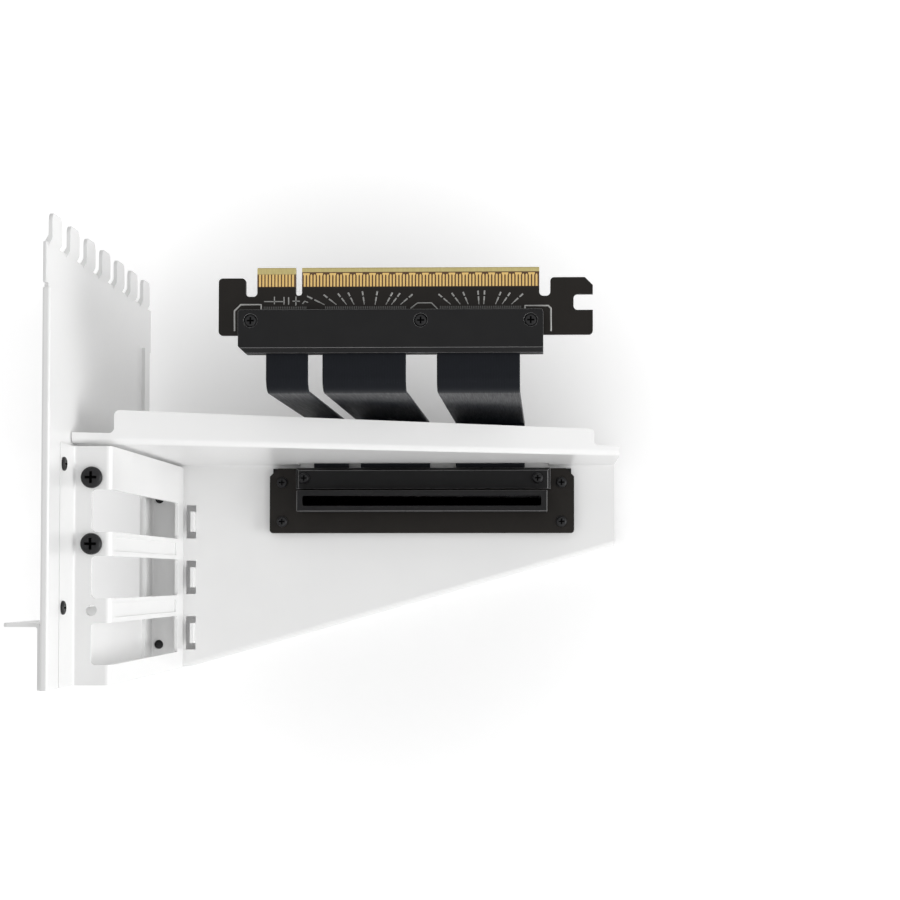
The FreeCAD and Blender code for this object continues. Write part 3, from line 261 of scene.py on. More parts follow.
def welded(node):
    """A CAD piece's shape with its triangles joined."""
    shape = bmesh.new()
    shape.from_mesh(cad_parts[node].data)
    bmesh.ops.remove_doubles(shape, verts=shape.verts, dist=WELD)
    return shape


def whole_faces(shape):
    """Join the triangles of each flat face."""
    bmesh.ops.dissolve_limit(shape, angle_limit=FLAT_ANGLE, verts=shape.verts, edges=shape.edges,
                             use_dissolve_boundaries=False, delimit={"NORMAL"})


def solids_of(node):
    """Lowest and highest corner of each separate solid in a CAD node, in a fixed order."""
    shape = welded(node)
    unseen = set(shape.verts)
    boxes = []
    while unseen:
        island = [unseen.pop()]
        for vertex in island:
            near = {edge.other_vert(vertex) for edge in vertex.link_edges} & unseen
            unseen -= near
            island.extend(near)
        low = Vector([min(vertex.co[axis] for vertex in island) for axis in range(3)])
        high = Vector([max(vertex.co[axis] for vertex in island) for axis in range(3)])
        boxes.append((low, high))
    shape.free()
    return sorted(boxes, key=lambda box: [round(number, 6) for number in box[0]])


def round_edges(piece, width):
    """Break a piece's sharp edges; its last finish goes on them."""
    bevel = piece.modifiers.new("edges", "BEVEL")
    bevel.material = len(piece.data.materials) - 1
    bevel.width = width * MM
    bevel.segments = EDGE_SEGMENTS
    bevel.limit_method = "ANGLE"
    bevel.angle_limit = EDGE_ANGLE
    bevel.use_clamp_overlap = True
    bevel.miter_outer = "MITER_ARC"
    bevel.harden_normals = False
    normals = piece.modifiers.new("shading", "WEIGHTED_NORMAL")
    normals.keep_sharp = True
    normals.weight = FACE_WEIGHT


def rounded_copy(node, width, *finishes):
    """Copy of a CAD piece with its sharp edges broken."""
    name = node + "_finished"
    shape = welded(node)
    whole_faces(shape)
    piece = new_piece(name, mesh_of(name, shape), *finishes)
    piece.data.shade_smooth()
    round_edges(piece, width)
    return settle(piece)


def lathe(name, outline, sides):
    """Solid turned about Z from an outline that starts and ends on the axis."""
    shape = bmesh.new()
    turns = [2 * math.pi * step / sides for step in range(sides)]
    rings = []
    for radius, height in outline:
        if radius < WELD:
            rings.append([shape.verts.new((0, 0, height * MM))])
            continue
        rings.append([shape.verts.new(mm(radius * math.cos(turn), radius * math.sin(turn), height))
                      for turn in turns])
    for lower, upper in zip(rings, rings[1:]):
        for step in range(sides):
            after = (step + 1) % sides
            corners = [lower[step % len(lower)], lower[after % len(lower)],
                       upper[after % len(upper)], upper[step % len(upper)]]
            shape.faces.new(list(dict.fromkeys(corners)))
    bmesh.ops.recalc_face_normals(shape, faces=shape.faces)
    return mesh_of(name, shape)


def prism(name, outline, lower, upper):
    """Solid between two copies of an outline, each at a height and with a share of its width."""
    shape = bmesh.new()
    rings = [[shape.verts.new(mm(across * share, along * share, height)) for across, along in outline]
             for height, share in (lower, upper)]
    for ring in rings:
        shape.faces.new(ring)
    for step in range(len(outline)):
        after = (step + 1) % len(outline)
        shape.faces.new((rings[0][step], rings[0][after], rings[1][after], rings[1][step]))
    bmesh.ops.recalc_face_normals(shape, faces=shape.faces)
    return new_piece(name, mesh_of(name, shape))


def merged(name, pieces, finish):
    """One piece made of several."""
    shape = bmesh.new()
    for piece in pieces:
        shape.from_mesh(piece.data)
        bpy.data.objects.remove(piece)
    for face in shape.faces:
        face.material_index = 0
    return new_piece(name, mesh_of(name, shape), finish)


# Geometry node trees

def new_tree(title, **inputs):
    """Empty tree with a Geometry input, the named inputs and a Geometry output."""
    tree = bpy.data.node_groups.new(title, "GeometryNodeTree")
    tree.is_modifier = True
    tree.interface.new_socket("Geometry", in_out="INPUT", socket_type="NodeSocketGeometry")
    for label, kind in inputs.items():
        tree.interface.new_socket(label.replace("_", " "), in_out="INPUT", socket_type="NodeSocket" + kind)
    tree.interface.new_socket("Geometry", in_out="OUTPUT", socket_type="NodeSocketGeometry")
    return tree, tree.nodes.new("NodeGroupInput"), tree.nodes.new("NodeGroupOutput")


def add(tree, kind, **links):
    """New node whose inputs are joined to other sockets or set to plain values."""
    node = tree.nodes.new(kind)
    for label, source in links.items():
        socket = node.inputs[label.replace("_", " ")]
        if isinstance(source, bpy.types.NodeSocket):
            tree.links.new(source, socket)
        else:
            socket.default_value = source
    return node


def coated(tree, geometry, finish):
    """Real geometry with its finish."""
    real = add(tree, "GeometryNodeRealizeInstances", Geometry=geometry)
    return add(tree, "GeometryNodeSetMaterial", Geometry=real.outputs[0], Material=finish).outputs[0]


def attach_tree(piece, tree, **values):
    """Give a piece a tree, with values for its named inputs."""
    modifier = piece.modifiers.new(tree.name, "NODES")
    modifier.node_group = tree
    labels = {item.name: item.identifier for item in tree.interface.items_tree
              if item.item_type == "SOCKET" and item.in_out == "INPUT"}
    for label, value in values.items():
        modifier[labels[label.replace("_", " ")]] = value
    return piece


def copies_tree():
    """A pattern piece set on every spot with its Z along an axis; its recess has a finish of its own, a
    painted shade.
    """
    tree, start, end = new_tree("copies_on_spots", Pattern_piece="Object", Axis="Vector", Finish="Material",
                                Recess_finish="Material")
    pattern = add(tree, "GeometryNodeObjectInfo", Object=start.outputs["Pattern piece"])
    upright = add(tree, "FunctionNodeAlignRotationToVector", Vector=start.outputs["Axis"])
    upright.axis = "Z"
    copies = add(tree, "GeometryNodeInstanceOnPoints", Points=start.outputs["Geometry"],
                 Instance=pattern.outputs["Geometry"], Rotation=upright.outputs[0])
    recess = add(tree, "GeometryNodeInputNamedAttribute", Name="recess")
    recess.data_type = "BOOLEAN"
    whole = coated(tree, copies.outputs[0], start.outputs["Finish"])
    sunk = add(tree, "GeometryNodeSetMaterial", Geometry=whole, Selection=recess.outputs[0],
               Material=start.outputs["Recess finish"])
    tree.links.new(sunk.outputs[0], end.inputs[0])
    return tree


def sweep_tree():
    """A section carried along a route, with its ends closed."""
    tree, start, end = new_tree("section_along_route", Section="Object", Finish="Material")
    section = add(tree, "GeometryNodeObjectInfo", Object=start.outputs["Section"])
    body = add(tree, "GeometryNodeCurveToMesh", Curve=start.outputs["Geometry"],
               Profile_Curve=section.outputs["Geometry"], Fill_Caps=True)
    smooth = add(tree, "GeometryNodeSetShadeSmooth", Geometry=body.outputs[0], Shade_Smooth=True)
    tree.links.new(coated(tree, smooth.outputs[0], start.outputs["Finish"]), end.inputs[0])
    return tree


def printed_tree():
    """A flat line of even width along every chain of edges."""
    tree, start, end = new_tree("printed_lines", Width="Float", Thickness="Float", Finish="Material")
    line = add(tree, "GeometryNodeMeshToCurve", Mesh=start.outputs["Geometry"])
    level = add(tree, "GeometryNodeSetCurveNormal", Curve=line.outputs[0])
    level.mode = "Z_UP"
    section = add(tree, "GeometryNodeCurvePrimitiveQuadrilateral", Width=start.outputs["Width"],
                  Height=start.outputs["Thickness"])
    strip = add(tree, "GeometryNodeCurveToMesh", Curve=level.outputs[0],
                Profile_Curve=section.outputs[0], Fill_Caps=True)
    tree.links.new(coated(tree, strip.outputs[0], start.outputs["Finish"]), end.inputs[0])
    return tree


# Patterns that are copied

def screw_outline(head_radius, head_height, shank_radius, shank_length):
    """Radius and height of a pan head and its threaded shank, from the tip up."""
    root = shank_radius - THREAD_DEPTH
    rise = TIP_DOME * root
    outline = [(root * math.sin(angle), rise * (1 - math.cos(angle)) - shank_length)
               for angle in arc(*TIP_ARC)]
    height = rise - shank_length + THREAD_PITCH / 2
    while height < -THREAD_PITCH:
        outline.append((shank_radius, height))
        outline.append((root, height + THREAD_PITCH / 2))
        height += THREAD_PITCH
    outline.append((root, 0))
    outline.append((RIM_INSET * head_radius, 0))
    outline.append((head_radius, RIM_HEIGHT * head_height))
    for angle in arc(*DOME_ARC):
        radius = head_radius * (DOME_FLAT + (1 - DOME_FLAT) * math.cos(angle))
        outline.append((radius, head_height * (DOME_FOOT + (1 - DOME_FOOT) * math.sin(angle))))
    outline.append((0, head_height))
    return outline


def cross_cutter(name, head_radius, head_height):
    """Tapered cross that presses a driver's recess into a screw head."""
    reach = CROSS_REACH * head_radius
    width = CROSS_WIDTH * head_radius
    outline = []
    for quarter in range(4):
        turn = Matrix.Rotation(quarter * math.pi / 2, 2)
        outline += [turn @ Vector(corner) for corner in ((reach, -width), (reach, width), (width, width))]
    bottom = head_height * (1 - CROSS_DEPTH)
    return prism(name, outline, (bottom, CROSS_TAPER), (head_height * CUTTER_TOP, 1.0))


def screw_pattern(name, head_radius, head_height, shank_radius, shank_length):
    """Cross-head screw at the origin, its head on the plane Z = 0."""
    outline = screw_outline(head_radius, head_height, shank_radius, shank_length)
    screw = new_piece(name, lathe(name, outline, SCREW_SIDES))
    cutter = cross_cutter(name + "_cutter", head_radius, head_height)
    recess = screw.modifiers.new("recess", "BOOLEAN")
    recess.object = cutter
    recess.solver = "EXACT"
    settle(screw)
    bpy.data.objects.remove(cutter)
    screw.data.shade_smooth()
    screw.data.set_sharp_from_angle(angle=EDGE_ANGLE)
    # Faces in the cross's recess are marked for the painted shade finish
    recess_faces = screw.data.attributes.new("recess", "BOOLEAN", "FACE")
    for face, mark in zip(screw.data.polygons, recess_faces.data):
        across, along, up = face.center / MM
        inside = math.hypot(across, along) < CROSS_REACH * head_radius
        mark.value = inside and 0 < up < RECESS_TOP * head_height
    return screw


def copied(name, places, pattern, axis, finish):
    """Copies of a pattern on the given places; the pattern itself goes."""
    spots = bpy.data.meshes.new(name)
    spots.from_pydata(places, [], [])
    # The screws' recesses get the painted shade finish
    copies = attach_tree(new_piece(name, spots), COPIES, Pattern_piece=pattern, Axis=axis, Finish=finish,
                         Recess_finish=RECESS_PAINTED_SHADE)
    settle(copies)
    bpy.data.objects.remove(pattern)
    return copies


def set_screws(node, sizes, axis):
    """Detailed screws in the places of a CAD group's plain ones."""
    name = node + "_finished"
    pattern = screw_pattern(name + "_pattern", **sizes)
    way = Vector(axis)
    places = []
    for low, high in solids_of(node):
        middle = (low + high) / 2
        reach = (high - low).dot(Vector([abs(number) for number in axis])) / 2
        places.append(middle + way * (reach - sizes["head_height"] * MM))
    hand_over(copied(name, places, pattern, axis, BLACK_ZINC), "black_screw", node)


# Finishes

def new_finish(name, **sockets):
    """Material whose shader has the given plain values."""
    finish = bpy.data.materials.new(name)
    finish.use_nodes = True
    shader = finish.node_tree.nodes["Principled BSDF"]
    for label, value in sockets.items():
        shader.inputs[label.replace("_", " ")].default_value = value
    return finish, finish.node_tree, shader


def grain(tree, per_mm, detail=3.0, stretch=(1, 1, 1)):
    """Noise in the piece's own coordinates, with so many grains to a millimetre."""
    place = add(tree, "ShaderNodeTexCoord")
    scaled = add(tree, "ShaderNodeMapping", Vector=place.outputs["Object"])
    scaled.inputs["Scale"].default_value = [number / MM for number in stretch]
    return add(tree, "ShaderNodeTexNoise", Vector=scaled.outputs[0], Scale=per_mm, Detail=detail)


def spread(tree, source, low, high, from_low=NOISE_LOW, from_high=NOISE_HIGH):
    """Turn the reach of a value into another reach."""
    return add(tree, "ShaderNodeMapRange", Value=source, From_Min=from_low, From_Max=from_high,
               To_Min=low, To_Max=high)


def vary_colour(tree, shader, source, dark, light):
    """Base colour between two colours."""
    blend = add(tree, "ShaderNodeMix")
    blend.data_type = "RGBA"
    tree.links.new(source, blend.inputs[0])
    blend.inputs[MIX_FIRST].default_value = (*dark, 1)
    blend.inputs[MIX_SECOND].default_value = (*light, 1)
    tree.links.new(blend.outputs[MIX_RESULT], shader.inputs["Base Color"])


def vary_roughness(tree, shader, source, low, high):
    """Roughness between two values."""
    tree.links.new(spread(tree, source, low, high).outputs[0], shader.inputs["Roughness"])


def emboss(tree, shader, source, depth):
    """Bump of a depth in millimetres."""
    bump = add(tree, "ShaderNodeBump", Height=source, Strength=1.0, Distance=depth * MM)
    tree.links.new(bump.outputs[0], shader.inputs["Normal"])


def white_coat():
    """Satin white powder coat with a slight orange peel."""
    finish, tree, shader = new_finish("white_coat", Coat_Weight=0.25, Coat_Roughness=0.18)
    shade = grain(tree, per_mm=0.04)
    vary_colour(tree, shader, shade.outputs["Fac"], (0.79, 0.79, 0.79), (0.835, 0.835, 0.83))
    peel = grain(tree, per_mm=0.8, detail=1.0)
    vary_roughness(tree, shader, peel.outputs["Fac"], 0.28, 0.35)
    emboss(tree, shader, peel.outputs["Fac"], depth=0.006)
    return finish


def black_zinc():
    """Blackened screw steel, a little worn on its crests."""
    finish, tree, shader = new_finish("black_zinc", Specular_IOR_Level=0.24)
    wear = grain(tree, per_mm=2.2)
    vary_colour(tree, shader, wear.outputs["Fac"], (0.008, 0.008, 0.009), (0.02, 0.02, 0.021))
    vary_roughness(tree, shader, wear.outputs["Fac"], 0.3, 0.46)
    emboss(tree, shader, grain(tree, per_mm=9.0).outputs["Fac"], depth=0.006)
    return finish


def recess_painted_shade():
    """Painted shade in a screw's driver recess: near-black, darker than the screw's steel."""
    finish, tree, shader = new_finish("recess_painted_shade", Specular_IOR_Level=0.08)
    shade_grain = grain(tree, per_mm=3.0)
    vary_colour(tree, shader, shade_grain.outputs["Fac"], (0.0012, 0.0012, 0.0012), (0.003, 0.003, 0.003))
    vary_roughness(tree, shader, shade_grain.outputs["Fac"], 0.7, 0.9)
    emboss(tree, shader, shade_grain.outputs["Fac"], depth=0.01)
    return finish


def black_mould():
    """Finely sparked black plastic."""
    finish, tree, shader = new_finish("black_mould", Specular_IOR_Level=0.15)
    shade = grain(tree, per_mm=0.12)
    vary_colour(tree, shader, shade.outputs["Fac"], (0.0095, 0.0095, 0.01), (0.014, 0.014, 0.0145))
    spark = grain(tree, per_mm=5.0, detail=4.0)
    vary_roughness(tree, shader, spark.outputs["Fac"], 0.5, 0.66)
    emboss(tree, shader, spark.outputs["Fac"], depth=0.02)
    return finish


def solder_mask():
    """Brown-black mask over the weave of a circuit board."""
    finish, tree, shader = new_finish("solder_mask", Specular_IOR_Level=0.17)
    shade = grain(tree, per_mm=0.25)
    vary_colour(tree, shader, shade.outputs["Fac"], (0.009, 0.0076, 0.0064), (0.0142, 0.012, 0.01))
    weave = grain(tree, per_mm=2.5, detail=1.0, stretch=(1.0, 0.25, 1.0))
    vary_roughness(tree, shader, weave.outputs["Fac"], 0.38, 0.5)
    emboss(tree, shader, weave.outputs["Fac"], depth=0.01)
    return finish


def bare_laminate():
    """Yellow-green glass laminate where the plug's edge is bevelled."""
    finish, tree, shader = new_finish("bare_laminate")
    fibres = grain(tree, per_mm=3.0, detail=2.0, stretch=(1.0, 0.15, 0.15))
    vary_colour(tree, shader, fibres.outputs["Fac"], (0.47, 0.385, 0.145), (0.64, 0.545, 0.235))
    vary_roughness(tree, shader, fibres.outputs["Fac"], 0.4, 0.55)
    emboss(tree, shader, fibres.outputs["Fac"], depth=0.015)
    return finish


def bare_gaps():
    """Brown laminate between the plug's contacts."""
    finish, tree, shader = new_finish("bare_gaps")
    fibres = grain(tree, per_mm=3.0, detail=2.0, stretch=(1.0, 0.15, 0.15))
    vary_colour(tree, shader, fibres.outputs["Fac"], (0.06, 0.024, 0.005), (0.1, 0.042, 0.009))
    vary_roughness(tree, shader, fibres.outputs["Fac"], 0.4, 0.55)
    emboss(tree, shader, fibres.outputs["Fac"], depth=0.01)
    return finish


def printed_finish(name, dark, light, metallic=0.0):
    """Slightly uneven print or tin on a board."""
    finish, tree, shader = new_finish(name, Metallic=metallic)
    patches = grain(tree, per_mm=1.4)
    vary_colour(tree, shader, patches.outputs["Fac"], (dark, dark, PRINT_BLUE * dark),
                (light, light, PRINT_BLUE * light))
    vary_roughness(tree, shader, patches.outputs["Fac"], 0.4, 0.6)
    emboss(tree, shader, patches.outputs["Fac"], depth=0.008)
    return finish


def board_print():
    """Pale print of the frames at the plug's ends."""
    return printed_finish("board_print", dark=0.42, light=0.52)


def tinned_pad():
    """Tin on the plug's traces and middle frame."""
    return printed_finish("tinned_pad", dark=0.2, light=0.42, metallic=0.2)


def dull_pad():
    """Dull tin on the small pads."""
    return printed_finish("dull_pad", dark=0.06, light=0.15, metallic=0.2)


def painted_edge_highlight(name, shade):
    """Painted highlight on the black plastic's broken edges: a grey lighter than the plastic, up from a given
    darkest grey.
    """
    finish, tree, shader = new_finish(name, Specular_IOR_Level=0.6)
    rub_and_sheen = grain(tree, per_mm=0.8)
    light = EDGE_LIGHT * shade
    vary_colour(tree, shader, rub_and_sheen.outputs["Fac"], (shade, shade, shade), (light, light, EDGE_BLUE * shade))
    vary_roughness(tree, shader, rub_and_sheen.outputs["Fac"], 0.26, 0.36)
    emboss(tree, shader, rub_and_sheen.outputs["Fac"], depth=0.006)
    return finish


def gold_plating():
    """Gold plate, rubbed along the contacts."""
    finish, tree, shader = new_finish("gold_plating", Metallic=1.0)
    rub_and_sheen = grain(tree, per_mm=1.5, detail=3.0, stretch=(3.0, 0.3, 1.0))
    vary_colour(tree, shader, rub_and_sheen.outputs["Fac"], (0.7, 0.44, 0.135), (0.74, 0.55, 0.24))
    vary_roughness(tree, shader, rub_and_sheen.outputs["Fac"], 0.22, 0.36)
    emboss(tree, shader, rub_and_sheen.outputs["Fac"], depth=0.004)
    return finish


def ribbon_jacket():
    """Smooth blue-black jacket of the ribbons."""
    finish, tree, shader = new_finish("ribbon_jacket", Specular_IOR_Level=0.1)
    shade = grain(tree, per_mm=0.3)
    vary_colour(tree, shader, shade.outputs["Fac"], (0.0066, 0.0078, 0.0105), (0.009, 0.0104, 0.0142))
    drawn = grain(tree, per_mm=1.2, detail=3.0, stretch=(3.0, 0.08, 0.08))
    vary_roughness(tree, shader, drawn.outputs["Fac"], 0.32, 0.44)
    emboss(tree, shader, drawn.outputs["Fac"], depth=0.008)
    return finish


WHITE_COAT = white_coat()
BLACK_ZINC = black_zinc()
RECESS_PAINTED_SHADE = recess_painted_shade()
BLACK_MOULD = black_mould()
SOLDER_MASK = solder_mask()
BARE_LAMINATE = bare_laminate()
GOLD_PLATING = gold_plating()
RIBBON_JACKET = ribbon_jacket()
BARE_GAPS = bare_gaps()
BOARD_PRINT = board_print()
TINNED_PAD = tinned_pad()
DULL_PAD = dull_pad()
# Painted highlights on the black plastic's broken edges: dim on the socket and clamp, a light grey line on
# the plug covers
MOULD_EDGE_HIGHLIGHT = painted_edge_highlight("painted_edge_highlight", 0.09)
COVER_EDGE_HIGHLIGHT = painted_edge_highlight("cover_edge_highlight", 0.34)
COPIES = copies_tree()
PRINTED = printed_tree()
SWEEP = sweep_tree()


# Sheet steel and moulded pieces

def make_rounded_pieces():
    """Sheets, mouldings and the socket's board, with their edges broken; the black plastic's edges get a
    painted highlight.
    """
    groups = (
        (SHEET_EDGE, (WHITE_COAT,), "white_steel", ("rear_plate", "case_tab", "card_carrier", "riser_tray")),
        (COVER_EDGE_ROUNDING, (BLACK_MOULD, COVER_EDGE_HIGHLIGHT), "black_plastic", ("plug_cover_top", "plug_cover_bottom")),
        (MOULDED_EDGE, (BLACK_MOULD, MOULD_EDGE_HIGHLIGHT), "black_plastic",
         ("ribbon_clamp", "socket_body", "socket_base")),
        (BOARD_EDGE, (SOLDER_MASK,), "circuit_board", ("socket_board",)),
    )
    for width, finishes, slot, nodes in groups:
        for node in nodes:
            hand_over(rounded_copy(node, width, *finishes), slot, node)


# Plug board

def make_plug_board():
    """Board whose bevelled edge and gaps between the contacts show the bare laminate."""
    low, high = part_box("plug_contacts")
    margin = BARE_MARGIN * MM
    shape = welded("plug_board")
    whole_faces(shape)
    for along in (BARE_FROM, SHORT_BEVEL, LONG_BEVEL):
        everything = shape.verts[:] + shape.edges[:] + shape.faces[:]
        bmesh.ops.bisect_plane(shape, geom=everything, plane_co=mm(0, along, 0), plane_no=TOWARDS_BOARD)
    for face in shape.faces:
        middle = face.calc_center_median()
        bevel = SHORT_BEVEL if middle.x < PLUG_KEY * MM else LONG_BEVEL
        if middle.y < BARE_FROM * MM or not low.x - margin < middle.x < high.x + margin:
            continue
        face.material_index = 1 if middle.y > bevel * MM else 2
    mesh = mesh_of("plug_board_finished", shape)
    piece = new_piece("plug_board_finished", mesh, SOLDER_MASK, BARE_LAMINATE, BARE_GAPS)
    hand_over(piece, "circuit_board", "plug_board")


def printed(name, chains, width, finish):
    """Flat lines on the plug board's upper face."""
    places = []
    edges = []
    for chain in chains:
        first = len(places)
        places += [mm(*place, PLUG_FACE + PRINT_HEIGHT / 2) for place in chain]
        edges += [(step, step + 1) for step in range(first, len(places) - 1)]
    mesh = bpy.data.meshes.new(name)
    mesh.from_pydata(places, edges, [])
    lines = attach_tree(new_piece(name, mesh), PRINTED, Width=width * MM, Thickness=2 * PRINT_HEIGHT * MM,
                        Finish=finish)
    hand_over(settle(lines), "circuit_board")


def fan_lines():
    """Traces that draw together towards the plug's cover, in two fans."""
    lines = []
    for middle, tops in TRACE_FANS:
        for top in tops:
            rise = FAN_TOP - FAN_FALL * abs(top - middle)
            foot = middle + FAN_SQUEEZE * (top - middle)
            lines.append((Vector((top, rise)), Vector((foot, FAN_FOOT))))
    return lines


def stretches(lines, start, stop):
    """The part of each line between two shares of its length."""
    return [(first.lerp(last, start), first.lerp(last, stop)) for first, last in lines]


def make_print():
    """Frames, tinned spots and traces on the plug board."""
    printed("plug_end_frames", END_FRAMES, END_WIDTH, BOARD_PRINT)
    printed("plug_middle_frame", (MIDDLE_FRAME,), MIDDLE_WIDTH, TINNED_PAD)
    fans = fan_lines()
    for name, start, stop, width in FAN_STRETCHES:
        printed(name, stretches(fans, start, stop), width, TINNED_PAD)
    printed("plug_side_traces", SIDE_TRACES, SIDE_WIDTH, TINNED_PAD)


def box_outline(width, length):
    """Corners of a rectangle about the origin."""
    across = width / 2
    along = length / 2
    return [(-across, -along), (across, -along), (across, along), (-across, along)]


def make_pads():
    """Rows of small pads along the plug's cover."""
    places = []
    for start, end in PAD_ROWS:
        count = int((end - start) / PAD_PITCH)
        places += [mm(start + PAD_PITCH * step, PAD_LINE, PLUG_FACE) for step in range(count + 1)]
    pad = prism("plug_pad", box_outline(*PAD_SIZE), (-PRINT_HEIGHT, 1.0), (PRINT_HEIGHT, 1.0))
    hand_over(copied("plug_pads", places, pad, UP, DULL_PAD), "circuit_board")


# Ribbons

def new_line(name, points, closed):
    """Straight-edged curve through points in millimetres."""
    curve = bpy.data.curves.new(name, "CURVE")
    curve.dimensions = "3D"
    spline = curve.splines.new("POLY")
    spline.points.add(len(points) - 1)
    for point, place in zip(spline.points, points):
        point.co = (*mm(*place), 1)
    spline.use_cyclic_u = closed
    line = bpy.data.objects.new(name, curve)
    bpy.context.collection.objects.link(line)
    return line


def ribbon_section(width):
    """Points of a flat section with a shallow ridge over each conductor and round edges."""
    half = width / 2
    body = RIBBON_THICKNESS / 2
    ridges = max(int((width - RIBBON_THICKNESS) / RIDGE_PITCH), 1)
    steps = ridges * RIDGE_STEPS
    top = []
    for step in range(steps + 1):
        across = (half - body) * (1 - 2 * step / steps)
        ridge = RIBBON_RIDGE * (math.cos(2 * math.pi * ridges * step / steps) - 1) / 2
        top.append((across, body + ridge, 0))
    left_end = [(body * math.cos(turn) - (half - body), body * math.sin(turn), 0)
                for turn in arc(*RIBBON_ARC)]
    upper = top + left_end
    lower = [(-across, -up, level) for across, up, level in upper]
    return upper + lower


def ribbon_route(low, high):
    """Points of a ribbon's middle line: level, bend, drop, bend, level."""
    across = (low.x + high.x) / 2 / MM
    upper = high.z / MM - RIBBON_THICKNESS / 2
    lower = low.z / MM + RIBBON_THICKNESS / 2
    turns = [math.pi / 2 * step / BEND_STEPS for step in range(BEND_STEPS + 1)]
    upper_bend = [(across, RIBBON_DROP + RIBBON_BEND * (1 - math.sin(turn)),
                   upper - RIBBON_BEND * (1 - math.cos(turn))) for turn in turns]
    lower_bend = [(across, RIBBON_DROP - RIBBON_BEND * (1 - math.cos(turn)),
                   lower + RIBBON_BEND * (1 - math.sin(turn))) for turn in turns]
    return [(across, high.y / MM, upper), *upper_bend, *lower_bend, (across, low.y / MM, lower)]


def turn_outward(mesh):
    """Point a closed mesh's faces outward."""
    shape = bmesh.new()
    shape.from_mesh(mesh)
    bmesh.ops.recalc_face_normals(shape, faces=shape.faces)
    shape.to_mesh(mesh)
    shape.free()


def make_ribbon(side):
    """Ribbed jacket on the path of a CAD ribbon."""
    node = "ribbon_" + side
    low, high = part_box(node)
    section = new_line(node + "_section", ribbon_section((high.x - low.x) / MM), True)
    route = new_line(node + "_route", ribbon_route(low, high), False)
    attach_tree(route, SWEEP, Section=section, Finish=RIBBON_JACKET)
    mesh = plain_mesh(route)
    bpy.data.objects.remove(route)
    bpy.data.objects.remove(section)
    turn_outward(mesh)
    mesh.set_sharp_from_angle(angle=RIBBON_CREASE)
    hand_over(new_piece(node + "_jacket", mesh), "ribbon", node)


# Contacts

def finger(name, outline):
    """Plug contact about the origin."""
    return prism(name, outline, (-GILDING / 2, 1.0), (GILDING / 2, 1.0))


def make_plug_contacts():
    """Straight contacts on the short edge; on the long edge two of four join at a broad tip."""
    kinds = {"short": [], "plain": [], "broad": []}
    for low, high in solids_of("plug_contacts"):
        middle = (low + high) / 2
        step = round((middle.x / MM - PLUG_KEY) / CONTACT_PITCH - 0.5)
        kind = "short" if step < 0 else "broad" if step % 4 in (1, 2) else "plain"
        kinds[kind].append(middle)
    rows = [copied("contacts_" + kind, places, finger(kind + "_contact", CONTACT_OUTLINES[kind]), UP,
                   GOLD_PLATING) for kind, places in kinds.items()]
    hand_over(merged("plug_contacts_finished", rows, GOLD_PLATING), "gold", "plug_contacts")


def make_socket_contacts():
    """Blades of the socket, with their edges broken."""
    hand_over(rounded_copy("socket_contacts", CONTACT_EDGE, GOLD_PLATING), "gold", "socket_contacts")


# Fasteners

def make_screws():
    """All groups of screws, each with the way that its heads face."""
    set_screws("card_screws", CARD_SCREW, UP)
    set_screws("carrier_screws", CARRIER_SCREW, INWARD)
    set_screws("foot_screws", FOOT_SCREW, DOWN)
    for node in ("plug_screws", "socket_screws", "clamp_screws"):
        set_screws(node, BOARD_SCREW, UP)


# Stage

def calculate(tree, operation, first, second):
    """Result of an operation on two sockets."""
    node = tree.nodes.new("ShaderNodeMath")
    node.operation = operation
    tree.links.new(first, node.inputs[0])
    tree.links.new(second, node.inputs[1])
    return node.outputs[0]


def seen_rays(tree):
    """One for rays that the camera sees straight, in a mirror or through glass."""
    path = tree.nodes.new("ShaderNodeLightPath")
    total = path.outputs["Is Camera Ray"]
    for label in ("Is Glossy Ray", "Is Transmission Ray"):
        total = calculate(tree, "MAXIMUM", total, path.outputs[label])
    return total


def floor_paper(level):
    """Pale paper that glows for rays that are seen, more with the distance from the mount: painted shade near
    the mount, painted white in the open.
    """
    finish = bpy.data.materials.new("floor_paper")
    finish.use_nodes = True
    tree = finish.node_tree
    tree.nodes.clear()
    place = add(tree, "ShaderNodeTexCoord")
    distance = add(tree, "ShaderNodeVectorMath")
    distance.operation = "DISTANCE"
    tree.links.new(place.outputs["Object"], distance.inputs[0])
    distance.inputs[1].default_value = (*FLOOR_MIDDLE, level)
    # Weaker glow near the mount: painted shade around it
    fade = spread(tree, distance.outputs["Value"], SHADE_LIFT, OPEN_LIFT, FADE_FROM, FADE_TO)
    fade.interpolation_type = "SMOOTHERSTEP"
    lift = calculate(tree, "MULTIPLY", seen_rays(tree), fade.outputs[0])
    paper = add(tree, "ShaderNodeBsdfDiffuse", Color=PAPER)
    glow = add(tree, "ShaderNodeEmission", Color=WHITE, Strength=lift)
    both = tree.nodes.new("ShaderNodeAddShader")
    tree.links.new(paper.outputs[0], both.inputs[0])
    tree.links.new(glow.outputs[0], both.inputs[1])
    add(tree, "ShaderNodeOutputMaterial", Surface=both.outputs[0])
    return finish


def make_floor():
    """Sheet of paper just under the mount."""
    level = CAD_BOX[0].z - FLOOR_GAP
    corners = [(*corner, level) for corner in box_outline(2 * FLOOR_REACH, 2 * FLOOR_REACH)]
    mesh = bpy.data.meshes.new("floor")
    mesh.from_pydata(corners, [], [(0, 1, 2, 3)])
    new_piece("floor", mesh, floor_paper(level))


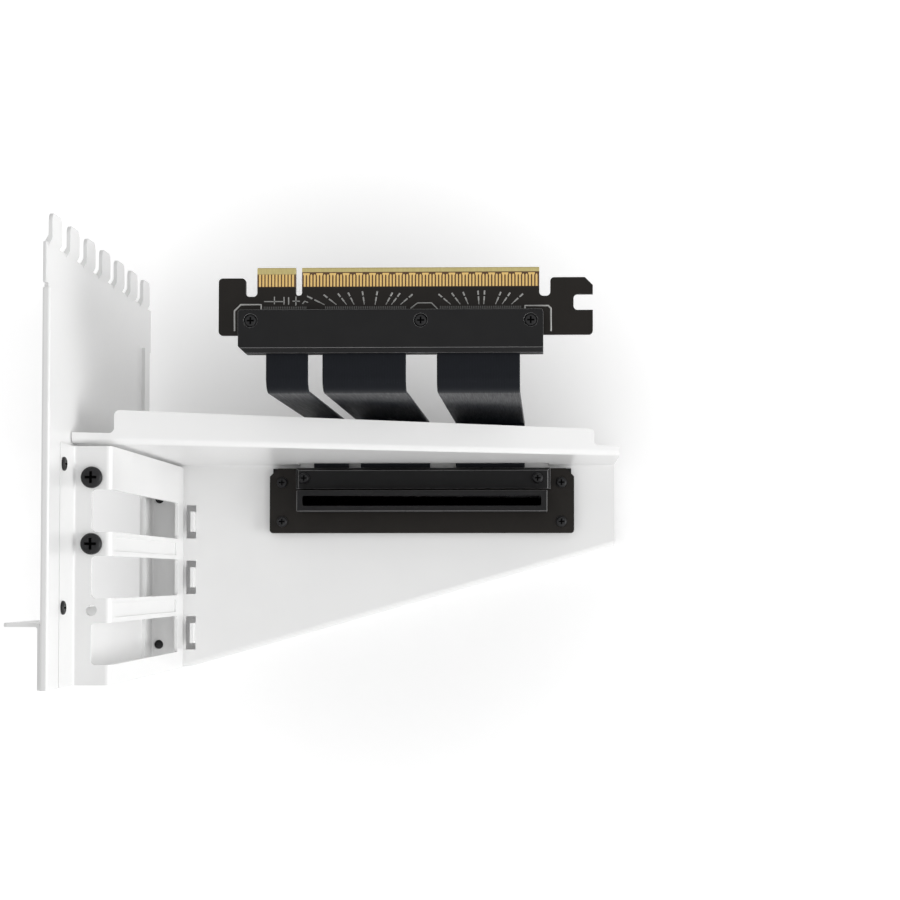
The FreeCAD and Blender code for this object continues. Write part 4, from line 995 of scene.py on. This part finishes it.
def make_world():
    """White backdrop for rays that are seen; for the rest a room, brighter on the screw tab's side."""
    world = bpy.data.worlds.new("studio")
    bpy.context.scene.world = world
    world.use_nodes = True
    tree = world.node_tree
    tree.nodes.clear()
    way = add(tree, "ShaderNodeTexCoord")
    parts = add(tree, "ShaderNodeSeparateXYZ", Vector=way.outputs["Generated"])
    fall = spread(tree, parts.outputs["Y"], ROOM_NEAR, ROOM_FAR, -1.0, 1.0)
    room = add(tree, "ShaderNodeBackground", Color=WHITE, Strength=fall.outputs[0])
    backdrop = add(tree, "ShaderNodeBackground", Color=WHITE, Strength=1.0)
    choice = add(tree, "ShaderNodeMixShader", Fac=seen_rays(tree))
    tree.links.new(room.outputs[0], choice.inputs[1])
    tree.links.new(backdrop.outputs[0], choice.inputs[2])
    add(tree, "ShaderNodeOutputWorld", Surface=choice.outputs[0])


def add_light(name, place, aim, size, power):
    """Softbox that points at a place."""
    lamp = bpy.data.lights.new(name, "AREA")
    lamp.shape = "RECTANGLE"
    lamp.size, lamp.size_y = size
    lamp.energy = power
    light = bpy.data.objects.new(name, lamp)
    bpy.context.collection.objects.link(light)
    light.location = place
    light.rotation_euler = (Vector(aim) - Vector(place)).to_track_quat("-Z", "Y").to_euler()


def make_lights():
    """Key light and side light."""
    add_light("key_softbox", **KEY_SOFTBOX)
    add_light("side_softbox", **SIDE_SOFTBOX)


def make_camera():
    """Camera with the mainboard's side at the top of its picture."""
    lens = bpy.data.cameras.new("camera")
    lens.lens = CAMERA_LENS
    lens.sensor_width = CAMERA_SENSOR
    lens.shift_x, lens.shift_y = CAMERA_SHIFT
    lens.clip_start, lens.clip_end = CAMERA_CLIP
    camera = bpy.data.objects.new("camera", lens)
    bpy.context.collection.objects.link(camera)
    back = (CAMERA_PLACE - CAMERA_AIM).normalized()
    right = Vector(TOWARDS_BOARD).cross(back).normalized()
    up = back.cross(right)
    turn = Matrix((right, up, back)).transposed().to_4x4()
    camera.matrix_world = Matrix.Translation(CAMERA_PLACE) @ turn
    bpy.context.scene.camera = camera


make_rounded_pieces()
make_plug_board()
for side in ("left", "middle", "right"):
    make_ribbon(side)
make_print()
make_pads()
make_plug_contacts()
make_socket_contacts()
make_screws()
make_floor()
make_world()
make_lights()
make_camera()
bpy.context.scene.view_settings.view_transform = "Standard"
